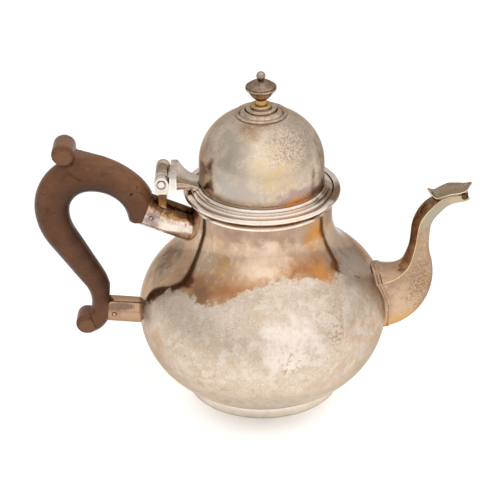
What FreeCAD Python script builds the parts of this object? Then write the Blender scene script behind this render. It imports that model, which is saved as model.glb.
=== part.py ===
import FreeCAD, Part
import math
import operator
import os

import Sketcher
from FreeCAD import Placement, Rotation, Vector

# A small pear-shaped silver pot with a hinged domed lid, a faceted swan-neck spout and a
# carved wooden scroll handle. Millimetres and degrees; +Z up, spout along +X, handle along -X,
# origin at the centre of the foot's resting face.

doc = FreeCAD.newDocument("SilverPot")

DRIVING_SIZES = {
    # body
    "belly_radius": 59.0,
    "bowl_curve": 41.1,
    "shoulder_curve": 32.5,
    "neck_curve": 25.9,
    "neck_radius": 32.8,
    "neck_length": 12.65,
    "body_wall": 1.0,
    # foot and base
    "foot_radius": 36.4,
    "foot_wall": 2.4,
    "base_inset": 3.0,
    "base_height": 2.85,
    "base_thickness": 1.4,
    "solder_gap": 0.03,
    # strainer behind the spout
    "strainer_hole": 1.3,
    "strainer_pitch": 4.6,
    # rim moulding
    "rim_cove_height": 4.6,
    "rim_cove_curve": 5.5,
    "rim_ledge": 3.2,
    "bead_curve": 1.75,
    "bead_rise": 1.2,
    "bead_inset": 0.55,
    # lid
    "lid_clearance": 0.35,
    "lid_edge_width": 1.8,
    "lid_edge_height": 1.5,
    "lid_step_width": 1.1,
    "lid_step_height": 0.8,
    "lid_shoulder": 1.1,
    "lid_shoulder_height": 1.1,
    "dome_side_height": 13.8,
    "crown_flat": 4.0,
    "dome_wall": 0.9,
    "bezel_depth": 4.0,
    "bezel_wall": 1.2,
    "bezel_clearance": 0.9,
    # finial
    "plate_radius": 12.0,
    "plate_edge": 0.9,
    "plate_bead_width": 1.7,
    "plate_bead_rise": 0.25,
    "plate_bead_curve": 1.1,
    "plate_middle_radius": 7.1,
    "plate_middle_height": 2.6,
    "plate_top_radius": 4.9,
    "plate_top_height": 3.9,
    "stud_radius": 1.5,
    "stud_end": 1.0,
    "stud_clearance": 0.05,
    "stem_radius": 2.45,
    "stem_height": 2.0,
    "stem_curve": 6.0,
    "knop_radius": 7.3,
    "knop_under_height": 5.85,
    "knop_band_height": 1.4,
    "knop_band_inset": 0.6,
    "knop_band_curve": 1.5,
    "knop_groove": 0.35,
    "knop_over_height": 3.55,
    "knop_over_curve": 14.0,
    "collarette_radius": 2.4,
    "ball_radius": 2.1,
    "ball_neck_radius": 1.2,
    "washer_inset": 0.2,
    "washer_thickness": 0.6,
    "nut_inset": 0.5,
    "nut_height": 2.2,
    # hinge
    "hinge_gap": 9.9,
    "hinge_rise": 7.12,
    "barrel_radius": 3.3,
    "barrel_length": 21.0,
    "middle_knuckle": 12.0,
    "knuckle_gap": 0.3,
    "hinge_pin_radius": 1.6,
    "pin_running_clearance": 0.05,
    "swing_clearance": 0.35,
    "leaf_block_width": 3.3,
    "leaf_block_height": 5.8,
    "tongue_width": 12.6,
    "tongue_drop": 3.0,
    "tongue_thickness": 2.6,
    "leaf_side_curve": 10.5,
    "leaf_top_curve": 16.9,
    "bracket_width": 5.9,
    "bracket_depth": 4.9,
    "post_thickness": 3.8,
    "post_width": 10.0,
    # handle sockets
    "upper_joint_gap": 21.5,
    "upper_joint_drop": 10.2,
    "upper_socket_radius": 7.75,
    "upper_socket_tilt": 22.0,
    "upper_tenon_length": 13.0,
    "upper_pin_from_joint": 3.2,
    "lower_joint_gap": 14.8,
    "lower_joint_drop": 1.7,
    "lower_socket_radius": 6.15,
    "lower_socket_tilt": 4.9,
    "lower_tenon_length": 9.0,
    "lower_pin_from_joint": 3.0,
    "socket_wall": 1.0,
    "tenon_clearance": 0.15,
    "handle_pin_radius": 0.9,
    "pin_proud": 0.25,
    # handle
    "handle_root_back": 1.2,
    "handle_root_drop": 4.0,
    "handle_root_length": 3.6,
    "handle_start_angle": 100.0,
    "arch_curve": 23.4,
    "crown_curve": 18.7,
    "crown_turn": 90.0,
    "back_curve": 26.0,
    "back_turn": 32.0,
    "shank_length": 26.2,
    "waist_curve": 21.4,
    "waist_turn": 40.0,
    "tail_length": 5.0,
    "tail_curve": 8.0,
    "tail_turn": 62.0,
    "tail_end_back": 9.1,
    "tail_end_drop": 8.6,
    "handle_joint_thickness": 13.8,
    "handle_joint_width": 15.3,
    "handle_top_thickness": 18.6,
    "handle_tail_thickness": 7.8,
    "handle_top_width": 12.8,
    "handle_tail_width": 10.4,
    "thumb_scroll_radius": 5.3,
    "thumb_scroll_turn": 20.9,
    "thumb_scroll_rise": 13.6,
    "thumb_web_reach": 5.1,
    "thumb_web_drop": 1.3,
    "thumb_web_width": 9.6,
    "tail_scroll_radius": 5.2,
    "tail_scroll_ahead": 0.56,
    "tail_scroll_aside": 2.64,
    "tail_boss_inset": 0.4,
    # spout
    "spout_root_depth": 11.0,
    "spout_root_rise": 3.1,
    "spout_root_length": 8.0,
    "spout_start_angle": 10.0,
    "spout_neck_angle": 86.0,
    "spout_lower_curve": 21.0,
    "spout_neck_length": 16.2,
    "spout_upper_curve": 17.0,
    "spout_head_length": 8.0,
    "spout_base_tall": 33.0,
    "spout_base_wide": 23.0,
    "spout_neck_tall": 9.0,
    "spout_neck_wide": 9.0,
    "spout_mouth_tall": 3.8,
    "spout_taper_back": 18.6,
    "spout_taper_length": 13.0,
    "spout_ridge_start": 14.0,
    "spout_ridge_length": 50.0,
    "mouth_notch_radius": 1.9,
    "mouth_notch_back": 1.0,
    "mouth_notch_rise": 1.03,
    "spout_flare_length": 39.0,
    "spout_wall": 0.8,
    "hood_length": 20.2,
    "hood_half_width": 6.2,
    "hood_rise": 1.83,
    "hood_dish": 0.6,
    "hood_keel": 2.4,
    "hood_end_depth": 0.3,
    "hood_overhang": 1.0,
    "hood_tip_rise": 3.0,
    "collar_proud": 0.7,
    "collar_depth": 3.6,
}

sheet = doc.addObject("Spreadsheet::Sheet", "Sizes")
for row, (alias, number) in enumerate(DRIVING_SIZES.items(), start=1):
    sheet.set(f"A{row}", alias)
    sheet.set(f"B{row}", str(number))
    sheet.setAlias(f"B{row}", alias)
doc.recompute()


class Size:
    """A size in millimetres or degrees, with the sheet formula that gives it."""

    def __init__(self, value, formula):
        self.value = value
        self.formula = formula

    def __add__(self, other):
        return combined(self, "+", other)

    def __sub__(self, other):
        return combined(self, "-", other)

    def __mul__(self, other):
        return combined(self, "*", other)

    def __truediv__(self, other):
        return combined(self, "/", other)

    def __neg__(self):
        return Size(-self.value, f"(-{self.formula})")


def as_size(number):
    return number if isinstance(number, Size) else Size(float(number), repr(float(number)))


def combined(first, sign, second):
    first = as_size(first)
    second = as_size(second)
    work = {"+": operator.add, "-": operator.sub, "*": operator.mul, "/": operator.truediv}
    value = work[sign](first.value, second.value)
    return Size(value, f"({first.formula} {sign} {second.formula})")


def root(size):
    return Size(math.sqrt(size.value), f"sqrt({size.formula})")


def cosine(angle):
    return Size(math.cos(math.radians(angle.value)), f"cos({angle.formula} * 1 deg)")


def sine(angle):
    return Size(math.sin(math.radians(angle.value)), f"sin({angle.formula} * 1 deg)")


class SheetSizes:
    """The sheet's sizes by name."""

    def __getattr__(self, alias):
        return Size(float(sheet.get(alias)), f"Sizes.{alias}")


size = SheetSizes()

ZERO = as_size(0.0)
ALONG_Y = Rotation(Vector(1, 0, 0), -90)


# Helpers: sketches whose points follow the sheet, solids made from them, and booleans

def arc_between(start, finish, bend):
    """The arc of signed radius bend from start to finish; a positive bend turns left."""
    chord = finish - start
    middle = (start + finish) * 0.5
    offset = math.sqrt(max(bend * bend - chord.Length ** 2 / 4, 0.0))
    side = Vector(-chord.y, chord.x, 0).normalize()
    centre = middle + side * math.copysign(offset, bend)
    circle = Part.Circle(centre, Vector(0, 0, 1), abs(bend))
    begin, end = (start, finish) if bend > 0 else (finish, start)
    angle_of = lambda point: math.atan2(point.y - centre.y, point.x - centre.x)
    return Part.ArcOfCircle(circle, angle_of(begin), angle_of(end))


def bind_point(sketch, edge, corner, point):
    for axis, kind, across in ((0, "DistanceX", -2), (1, "DistanceY", -1)):
        if point[axis].value == 0.0:
            sketch.addConstraint(Sketcher.Constraint("PointOnObject", edge, corner, across))
        else:
            number = sketch.addConstraint(Sketcher.Constraint(kind, edge, corner, point[axis].value))
            sketch.setExpression(f"Constraints[{number}]", point[axis].formula)


def draw(body, name, plane, outline):
    """A closed sketch. Each entry is (x, y), or (x, y, bend) where an arc arrives there."""
    sketch = body.newObject("Sketcher::SketchObject", name)
    origin = [item for item in body.Origin.OriginFeatures if item.Role == plane]
    sketch.AttachmentSupport = (origin[0], [""])
    sketch.MapMode = "FlatFace"
    corners = []
    for index, entry in enumerate(outline):
        following = outline[(index + 1) % len(outline)]
        start = Vector(entry[0].value, entry[1].value, 0)
        finish = Vector(following[0].value, following[1].value, 0)
        if len(following) == 2:
            sketch.addGeometry(Part.LineSegment(start, finish))
            corners.append((1, 2))
            continue
        bend = following[2]
        edge = sketch.addGeometry(arc_between(start, finish, bend.value))
        number = sketch.addConstraint(Sketcher.Constraint("Radius", edge, abs(bend.value)))
        sketch.setExpression(f"Constraints[{number}]", f"abs({bend.formula})")
        corners.append((1, 2) if bend.value > 0 else (2, 1))
    for index, entry in enumerate(outline):
        after = (index + 1) % len(outline)
        joined = Sketcher.Constraint("Coincident", index, corners[index][1], after, corners[after][0])
        sketch.addConstraint(joined)
        bind_point(sketch, index, corners[index][0], entry)
    return sketch


def turned(label, outline):
    """A solid of revolution about Z from an outline of (radius, height) points."""
    body = doc.addObject("PartDesign::Body", label)
    sketch = draw(body, f"{label}_outline", "XZ_Plane", outline)
    feature = body.newObject("PartDesign::Revolution", f"{label}_turning")
    feature.Profile = sketch
    feature.ReferenceAxis = (sketch, ["V_Axis"])
    feature.Angle = 360
    doc.recompute()
    return body


def padded(label, plane, outline, length):
    """A prism of the given length, centred on its sketch plane."""
    body = doc.addObject("PartDesign::Body", label)
    sketch = draw(body, f"{label}_outline", plane, outline)
    feature = body.newObject("PartDesign::Pad", f"{label}_pad")
    feature.Profile = sketch
    feature.Midplane = True
    feature.setExpression("Length", length.formula)
    doc.recompute()
    return body


def cylinder(label, radius, length, start, rotation=Rotation(), tilt=None):
    item = doc.addObject("Part::Cylinder", label)
    item.setExpression("Radius", radius.formula)
    item.setExpression("Height", length.formula)
    item.Placement = Placement(Vector(), rotation)
    for axis, place in zip("xyz", start):
        item.setExpression(f"Placement.Base.{axis}", as_size(place).formula)
    if tilt is not None:
        item.setExpression("Placement.Rotation.Angle", tilt.formula)
    return item


def cross_cylinder(label, radius, length, x, z):
    """A cylinder along Y, centred on the XZ plane."""
    return cylinder(label, radius, length, (x, -length / 2, z), ALONG_Y)


def cut(label, base, tool):
    item = doc.addObject("Part::Cut", label)
    item.Base = base
    item.Tool = tool
    return item


def fused(label, *pieces):
    item = doc.addObject("Part::MultiFuse", label)
    item.Shapes = list(pieces)
    return item


def common(label, *pieces):
    item = doc.addObject("Part::MultiCommon", label)
    item.Shapes = list(pieces)
    return item


def from_code(label, shape):
    item = doc.addObject("Part::Feature", label)
    item.Shape = shape
    item.Placement = Placement()
    return item


# Body: bowl, shoulder and neck are three arcs that run into each other

foot_inner = size.foot_radius - size.foot_wall
base_opening = foot_inner - size.base_inset
bowl_centre = size.belly_radius - size.bowl_curve
base_across = base_opening - bowl_centre
belly_height = size.base_height + root(size.bowl_curve * size.bowl_curve - base_across * base_across)
shoulder_centre = size.belly_radius - size.shoulder_curve
sweep_centre = size.neck_radius + size.neck_curve
curve_span = size.shoulder_curve + size.neck_curve
centre_offset = sweep_centre - shoulder_centre
sweep_rise = root(curve_span * curve_span - centre_offset * centre_offset)
neck_start = belly_height + sweep_rise
seat_height = neck_start + size.neck_length
spout_height = belly_height + size.spout_root_rise


def bowl_height(radius, inset):
    """Height of the bowl's surface, inset from the outer face, at a radius."""
    curve = size.bowl_curve - inset
    across = radius - bowl_centre
    return belly_height - root(curve * curve - across * across)


def turning_point(inset):
    """Where the shoulder arc gives way to the hollow neck arc."""
    share = (size.shoulder_curve - inset) / curve_span
    return shoulder_centre + centre_offset * share, belly_height + sweep_rise * share


def body_side(inset, lowest_radius, top):
    """Outline up the side of the body, inset from its outer face."""
    turn = turning_point(inset)
    return [
        (lowest_radius, bowl_height(lowest_radius, inset)),
        (size.belly_radius - inset, belly_height, size.bowl_curve - inset),
        (turn[0], turn[1], size.shoulder_curve - inset),
        (size.neck_radius - inset, neck_start, -(size.neck_curve + inset)),
        (size.neck_radius - inset, top),
    ]


def reversed_outline(outline):
    """The same outline run backwards, with its arcs turned round."""
    points = []
    for index in range(len(outline) - 1, -1, -1):
        after = outline[index + 1] if index + 1 < len(outline) else ()
        bend = (-after[2],) if len(after) == 3 else ()
        points.append(tuple(outline[index][:2]) + bend)
    return points


def body_form(label, proud):
    """The body as a filled form, grown by proud, used to fit pieces to its surface."""
    side = body_side(-proud, base_opening, seat_height)
    return turned(label, [(ZERO, side[0][1])] + side + [(ZERO, seat_height)])


outer_side = body_side(ZERO, base_opening, seat_height)
inner_side = body_side(size.body_wall, base_opening, seat_height)
body_shell = turned("body_shell", outer_side + reversed_outline(inner_side))

strainer = body_shell.newObject("Sketcher::SketchObject", "strainer_outline")
side_plane = [item for item in body_shell.Origin.OriginFeatures if item.Role == "YZ_Plane"]
strainer.AttachmentSupport = (side_plane[0], [""])
strainer.MapMode = "FlatFace"
strainer_holes = [(ZERO, spout_height)]
for angle in range(0, 360, 60):
    across = size.strainer_pitch * math.cos(math.radians(angle))
    strainer_holes.append((across, spout_height + size.strainer_pitch * math.sin(math.radians(angle))))
for hole in strainer_holes:
    middle = Vector(hole[0].value, hole[1].value, 0)
    edge = strainer.addGeometry(Part.Circle(middle, Vector(0, 0, 1), size.strainer_hole.value))
    number = strainer.addConstraint(Sketcher.Constraint("Radius", edge, size.strainer_hole.value))
    strainer.setExpression(f"Constraints[{number}]", size.strainer_hole.formula)
    # point 3 of a circle is its centre
    bind_point(strainer, edge, 3, hole)
solid_volume = body_shell.Shape.Volume
piercing = body_shell.newObject("PartDesign::Pocket", "strainer_holes")
piercing.Profile = strainer
piercing.Type = "ThroughAll"
piercing.Reversed = True
doc.recompute()
if body_shell.Shape.Volume >= solid_volume:
    raise RuntimeError("the strainer holes cut nothing")

body_block = body_form("body_block", ZERO)

# Foot and base: the ring's top follows the bowl, the disc closes the opening inside it

foot_ring = turned("foot_ring", [
    (foot_inner, ZERO),
    (size.foot_radius, ZERO),
    (size.foot_radius, bowl_height(size.foot_radius, ZERO)),
    (foot_inner, bowl_height(foot_inner, ZERO), -size.bowl_curve),
])
disc_radius = base_opening - size.solder_gap
base_disc = turned("base_disc", [
    (ZERO, size.base_height),
    (disc_radius, size.base_height),
    (disc_radius, size.base_height + size.base_thickness),
    (ZERO, size.base_height + size.base_thickness),
])

# Rim: a cove under a half-round bead, with a ledge inside the bead where the lid rests

ledge_radius = size.neck_radius + size.bead_inset
rim_radius = size.neck_radius + size.rim_ledge
bead_bottom = seat_height - size.bead_rise
bead_top = seat_height + size.bead_rise
rim_moulding = turned("rim_moulding", [
    (size.neck_radius, bead_bottom - size.rim_cove_height),
    (rim_radius, bead_bottom, -size.rim_cove_curve),
    (rim_radius, bead_top, size.bead_curve),
    (ledge_radius, bead_top),
    (ledge_radius, seat_height),
    (size.neck_radius, seat_height),
])

# Lid: flange on the ledge, bezel inside the neck, dome with a short straight side

lid_radius = ledge_radius - size.lid_clearance
step_radius = lid_radius - size.lid_edge_width
shoulder_radius = step_radius - size.lid_step_width
dome_radius = shoulder_radius - size.lid_shoulder
edge_top = seat_height + size.lid_edge_height
step_top = edge_top + size.lid_step_height
shoulder_top = step_top + size.lid_shoulder_height
lid_edge = [
    (lid_radius, seat_height),
    (lid_radius, edge_top - size.lid_edge_height / 2),
    (step_radius, edge_top, size.lid_edge_width),
    (step_radius, step_top),
    (shoulder_radius, step_top),
    (dome_radius, shoulder_top, size.lid_shoulder_height),
]
lid_flange = turned("lid_flange", [(dome_radius, seat_height)] + lid_edge)
dome_spring = seat_height + size.dome_side_height
dome_curve = dome_radius - size.crown_flat
dome_top = dome_spring + dome_curve
dome_inner = dome_radius - size.dome_wall
stud_hole = size.stud_radius + size.stud_clearance
lid_dome = turned("lid_dome", [
    (dome_radius, seat_height),
    (dome_radius, dome_spring),
    (size.crown_flat, dome_top, dome_curve),
    (stud_hole, dome_top),
    (stud_hole, dome_top - size.dome_wall),
    (size.crown_flat, dome_top - size.dome_wall),
    (dome_inner, dome_spring, -(dome_curve - size.dome_wall)),
    (dome_inner, seat_height),
])
bezel_radius = size.neck_radius - size.body_wall - size.bezel_clearance
bezel_inner = bezel_radius - size.bezel_wall
lid_bezel = turned("lid_bezel", [
    (bezel_inner, seat_height - size.bezel_depth),
    (bezel_radius, seat_height - size.bezel_depth),
    (bezel_radius, seat_height),
    (bezel_inner, seat_height),
])

# Finial: stepped plate that sits on the crown, turned knop with a ball, washer and nut below


def crown_height(radius):
    across = radius - size.crown_flat
    return dome_spring + root(dome_curve * dome_curve - across * across)


plate_edge_top = crown_height(size.plate_radius) + size.plate_edge
plate_bead_radius = size.plate_radius - size.plate_bead_width
plate_top = dome_top + size.plate_top_height
plate_middle = dome_top + size.plate_middle_height
finial_plate = turned("finial_plate", [
    (stud_hole, dome_top),
    (size.crown_flat, dome_top),
    (size.plate_radius, crown_height(size.plate_radius), -dome_curve),
    (size.plate_radius, plate_edge_top),
    (plate_bead_radius, plate_edge_top + size.plate_bead_rise, size.plate_bead_curve),
    (size.plate_middle_radius, dome_top + size.plate_edge),
    (size.plate_middle_radius, plate_middle),
    (size.plate_top_radius, plate_middle),
    (size.plate_top_radius, plate_top),
    (stud_hole, plate_top),
])
stem_top = plate_top + size.stem_height
knop_widest = stem_top + size.knop_under_height
knop_top = knop_widest + size.knop_groove + size.knop_over_height
ball_rise = root(size.ball_radius * size.ball_radius - size.ball_neck_radius * size.ball_neck_radius)
ball_centre = knop_top + ball_rise
groove_radius = size.knop_radius - size.knop_groove
washer_top = dome_top - size.dome_wall
washer_base = washer_top - size.washer_thickness
nut_base = washer_base - size.nut_height
stud_tip = nut_base - size.stud_end
finial = turned("finial", [
    (ZERO, stud_tip),
    (size.stud_radius, stud_tip),
    (size.stud_radius, plate_top),
    (size.stem_radius + size.knop_groove, plate_top),
    (size.stem_radius, stem_top, -size.stem_curve),
    (size.knop_radius - size.knop_band_inset, knop_widest - size.knop_band_height),
    (size.knop_radius, knop_widest, size.knop_band_curve),
    (groove_radius, knop_widest),
    (groove_radius, knop_widest + size.knop_groove),
    (size.knop_radius, knop_widest + size.knop_groove),
    (size.collarette_radius, knop_top - size.knop_groove, size.knop_over_curve),
    (size.ball_neck_radius, knop_top),
    (size.ball_radius, ball_centre, size.ball_radius),
    (ZERO, ball_centre + size.ball_radius, size.ball_radius),
])
washer_radius = size.crown_flat - size.washer_inset
finial_washer = turned("finial_washer", [
    (stud_hole, washer_base),
    (washer_radius, washer_base),
    (washer_radius, washer_top),
    (stud_hole, washer_top),
])
nut_blank = doc.addObject("Part::Prism", "nut_blank")
nut_blank.Polygon = 6
nut_blank.setExpression("Circumradius", (washer_radius - size.nut_inset).formula)
nut_blank.setExpression("Height", size.nut_height.formula)
nut_blank.setExpression("Placement.Base.z", nut_base.formula)
nut_bore = cylinder("nut_bore", stud_hole, size.nut_height, (0, 0, nut_base))
finial_nut = cut("finial_nut", nut_blank, nut_bore)

# Sockets: tubes fitted to the body, each bored across for its handle pin


class Socket:
    """A tube that runs from the end of the handle to the body."""

    def __init__(self, name, x, z, radius, tilt, tenon, pin_from_joint):
        self.name = name
        self.x = x
        self.z = z
        self.radius = radius
        self.tilt = tilt + 90.0
        self.tenon = tenon
        self.pin_x = self.x + cosine(tilt) * pin_from_joint
        self.pin_z = self.z - sine(tilt) * pin_from_joint

    def rod(self, suffix, radius, length):
        """A round rod along the socket's axis, from the joint towards the body."""
        turn = Rotation(Vector(0, 1, 0), self.tilt.value)
        return cylinder(f"{self.name}_{suffix}", radius, length, (self.x, 0, self.z), turn, self.tilt)

    def pin_rod(self, suffix, radius, length):
        return cross_cylinder(f"{self.name}_{suffix}", radius, length, self.pin_x, self.pin_z)

    def tube(self):
        outside = self.rod("outside", self.radius, size.belly_radius)
        inside = self.rod("inside", self.radius - size.socket_wall, size.belly_radius)
        hole = self.pin_rod("pin_hole", size.handle_pin_radius, self.radius * 3)
        return cut(f"{self.name}_socket", outside, fused(f"{self.name}_hollow", inside, hole, body_block))

    def pin(self):
        return self.pin_rod("handle_pin", size.handle_pin_radius, (self.radius + size.pin_proud) * 2)


upper = Socket("upper", -(size.neck_radius + size.upper_joint_gap), seat_height - size.upper_joint_drop,
               size.upper_socket_radius, size.upper_socket_tilt,
               size.upper_tenon_length, size.upper_pin_from_joint)
lower = Socket("lower", -(size.belly_radius + size.lower_joint_gap), belly_height - size.lower_joint_drop,
               size.lower_socket_radius, size.lower_socket_tilt,
               size.lower_tenon_length, size.lower_pin_from_joint)
upper_socket = upper.tube()
lower_socket = lower.tube()
upper_handle_pin = upper.pin()
lower_handle_pin = lower.pin()

# Hinge: bracket on the upper socket with the outer knuckles, leaf on the lid with the middle one

hinge_x = -(rim_radius + size.hinge_gap)
hinge_z = seat_height + size.hinge_rise
block_bottom = hinge_z - size.bracket_depth
outer_barrel = cross_cylinder("outer_barrel", size.barrel_radius, size.barrel_length, hinge_x, hinge_z)
bracket_block = padded("bracket_block", "XZ_Plane", [
    (hinge_x - size.bracket_width / 2, block_bottom),
    (hinge_x + size.bracket_width / 2, block_bottom),
    (hinge_x + size.bracket_width / 2, hinge_z),
    (hinge_x - size.bracket_width / 2, hinge_z),
], size.barrel_length)
post = padded("bracket_post", "XZ_Plane", [
    (hinge_x - size.post_thickness / 2, upper.z - size.upper_socket_radius),
    (hinge_x + size.post_thickness / 2, upper.z - size.upper_socket_radius),
    (hinge_x + size.post_thickness / 2, block_bottom),
    (hinge_x - size.post_thickness / 2, block_bottom),
], size.post_width)
knuckle_room = cross_cylinder("knuckle_room", size.barrel_radius + size.swing_clearance,
                              size.middle_knuckle + size.knuckle_gap * 2, hinge_x, hinge_z)
pin_hole = cross_cylinder("hinge_pin_hole", size.hinge_pin_radius, size.barrel_length * 2, hinge_x, hinge_z)
socket_room = upper.rod("room", size.upper_socket_radius, size.belly_radius)
bracket_blank = fused("bracket_blank", outer_barrel, bracket_block, post)
hinge_bracket = cut("hinge_bracket", bracket_blank,
                    fused("bracket_hollow", knuckle_room, pin_hole, socket_room))
hinge_pin = cross_cylinder("hinge_pin", size.hinge_pin_radius, size.barrel_length + size.pin_proud * 2,
                           hinge_x, hinge_z)

block_left = hinge_x + size.barrel_radius + size.swing_clearance
block_right = block_left + size.leaf_block_width
block_top = hinge_z + size.leaf_block_height / 2
leaf_bottom = hinge_z - size.leaf_block_height / 2
tongue_end = -dome_radius
leaf_side = padded("leaf_side", "XZ_Plane", [
    (block_left, leaf_bottom),
    (block_right, leaf_bottom),
    (tongue_end, leaf_bottom - size.tongue_drop),
    (tongue_end, leaf_bottom - size.tongue_drop + size.tongue_thickness),
    (block_right, block_top, -size.leaf_top_curve),
    (block_left, block_top),
], size.barrel_length)
half_barrel = size.barrel_length / 2
half_tongue = size.tongue_width / 2
leaf_plan = padded("leaf_plan", "XY_Plane", [
    (block_left, -half_barrel),
    (block_right, -half_barrel),
    (tongue_end - size.lid_shoulder, -half_tongue, -size.leaf_side_curve),
    (tongue_end, -half_tongue),
    (tongue_end, half_tongue),
    (tongue_end - size.lid_shoulder, half_tongue),
    (block_right, half_barrel, -size.leaf_side_curve),
    (block_left, half_barrel),
], hinge_z * 3)
middle_barrel = cross_cylinder("middle_barrel", size.barrel_radius, size.middle_knuckle, hinge_x, hinge_z)
leaf_web = padded("leaf_web", "XZ_Plane", [
    (hinge_x, hinge_z - size.barrel_radius / 2),
    (block_right, hinge_z - size.barrel_radius / 2),
    (block_right, hinge_z + size.barrel_radius / 2),
    (hinge_x, hinge_z + size.barrel_radius / 2),
], size.middle_knuckle)
leaf_blank = fused("leaf_blank", common("leaf_blade", leaf_side, leaf_plan), middle_barrel, leaf_web)
leaf_bore = cross_cylinder("leaf_bore", size.hinge_pin_radius + size.pin_running_clearance,
                           size.barrel_length * 2, hinge_x, hinge_z)
lid_middle = [(dome_radius, dome_spring), (ZERO, dome_spring), (ZERO, seat_height)]
lid_room = turned("lid_room", lid_edge + lid_middle)
hinge_leaf = cut("hinge_leaf", leaf_blank, fused("leaf_hollow", leaf_bore, lid_room))
doc.recompute()


# Paths: a start point and heading, then runs and turns, sampled along their length

class Path:
    """A flat path in the XZ plane built from straight runs and tangent arcs."""

    def __init__(self, x, z, heading):
        self.stations = [(Vector(x, 0, z), heading, 0.0)]

    def turn(self, radius, angle, steps):
        """An arc of the given radius; a positive angle turns left, seen from the -Y side."""
        step = angle / steps
        chord = 2 * radius * math.sin(math.radians(abs(step)) / 2)
        for _ in range(steps):
            place, heading, run = self.stations[-1]
            slope = math.radians(heading + step / 2)
            ahead = Vector(math.cos(slope), 0, math.sin(slope)) * chord
            self.stations.append((place + ahead, heading + step, run + radius * math.radians(abs(step))))
        return self

    def run(self, length):
        place, heading, travelled = self.stations[-1]
        slope = math.radians(heading)
        ahead = Vector(math.cos(slope), 0, math.sin(slope)) * length
        self.stations.append((place + ahead, heading, travelled + length))
        return self

    def fit(self, start, finish):
        """Turns and scales the whole path so that it runs from start to finish."""
        first = self.stations[0][0]
        drawn = self.stations[-1][0] - first
        wanted = finish - start
        scale = wanted.Length / drawn.Length
        turn = math.degrees(math.atan2(wanted.z, wanted.x) - math.atan2(drawn.z, drawn.x))
        spin = Rotation(Vector(0, 1, 0), -turn)
        self.stations = [
            (start + spin.multVec(place - first) * scale, heading + turn, travelled * scale)
            for place, heading, travelled in self.stations
        ]
        self.scale = scale


def heading_vector(heading):
    return Vector(math.cos(math.radians(heading)), 0, math.sin(math.radians(heading)))


def beyond_arc(station, radius, turn, away):
    """A place outside the left-hand arc that starts at a station, once it has turned this far."""
    place, heading, _ = station
    centre = place + heading_vector(heading + 90) * radius
    return centre + heading_vector(heading - 90 + turn) * (radius + away)


def eased(share):
    share = min(max(share, 0.0), 1.0)
    return share * share * (3 - 2 * share)


def between(first, last, share):
    return first.value * (1 - share) + last.value * share


def section_points(station, shape, half_tall, half_wide):
    """Points of a cross-section: shape gives (up, out) shares, up being left of the heading."""
    place, heading, _ = station
    slope = math.radians(heading + 90)
    up = Vector(math.cos(slope), 0, math.sin(slope))
    return [place + up * (half_tall * tall) + Vector(0, half_wide * wide, 0) for tall, wide in shape]


def faceted_wire(points):
    return Part.makePolygon(points + points[:1])


def smooth_wire(points):
    curve = Part.BSplineCurve()
    curve.interpolate(points, PeriodicFlag=True)
    return Part.Wire(curve.toShape())


# Handle: an oval bar that swells over the arch and thins to the tail, with two scrolls

OVAL_FULLNESS = 0.85
TAPER_POWER = 1.3


def oval():
    """Shares of a full oval, a little squarer than an ellipse."""
    shape = []
    for angle in range(0, 360, 30):
        tall = math.cos(math.radians(angle))
        wide = math.sin(math.radians(angle))
        tall = math.copysign(abs(tall) ** OVAL_FULLNESS, tall)
        wide = math.copysign(abs(wide) ** OVAL_FULLNESS, wide)
        shape.append((tall, wide))
    return shape


def handle_path():
    """The bar's centre line, fitted between the two joints, and the station at the top of its arch."""
    path = Path(0.0, 0.0, size.handle_start_angle.value)
    path.run(size.handle_root_length.value)
    path.turn(size.arch_curve.value, 180 - size.handle_start_angle.value, 3)
    top = len(path.stations) - 1
    path.turn(size.crown_curve.value, size.crown_turn.value, 3)
    path.turn(size.back_curve.value, size.back_turn.value, 1)
    path.run(size.shank_length.value / 2)
    path.run(size.shank_length.value / 2)
    path.turn(size.waist_curve.value, -size.waist_turn.value, 2)
    path.run(size.tail_length.value)
    path.turn(size.tail_curve.value, -size.tail_turn.value, 2)
    root_x = upper.x - size.handle_root_back
    root_z = upper.z - size.handle_root_drop
    end_x = lower.x - size.tail_end_back
    end_z = lower.z - size.tail_end_drop
    path.fit(Vector(root_x.value, 0, root_z.value), Vector(end_x.value, 0, end_z.value))
    return path, path.stations[top]


def handle_shape(path, top):
    top_run = top[2]
    full_run = path.stations[-1][2]
    wires = []
    for station in path.stations:
        run = station[2]
        if run < top_run:
            share = eased(run / top_run)
            thick = between(size.handle_joint_thickness, size.handle_top_thickness, share)
            wide = between(size.handle_joint_width, size.handle_top_width, share)
        else:
            share = (run - top_run) / (full_run - top_run)
            thick = between(size.handle_top_thickness, size.handle_tail_thickness, share ** TAPER_POWER)
            wide = between(size.handle_top_width, size.handle_tail_width, share)
        wires.append(smooth_wire(section_points(station, oval(), thick / 2, wide / 2)))
    return Part.makeLoft(wires, True)


def joint_trim(socket):
    """Everything on the body's side of the joint between socket and wood."""
    return socket.rod("trim", socket.radius * 3, size.belly_radius)


def tenon(socket):
    radius = socket.radius - size.socket_wall - size.tenon_clearance
    return socket.rod("tenon", radius, socket.tenon)


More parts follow.
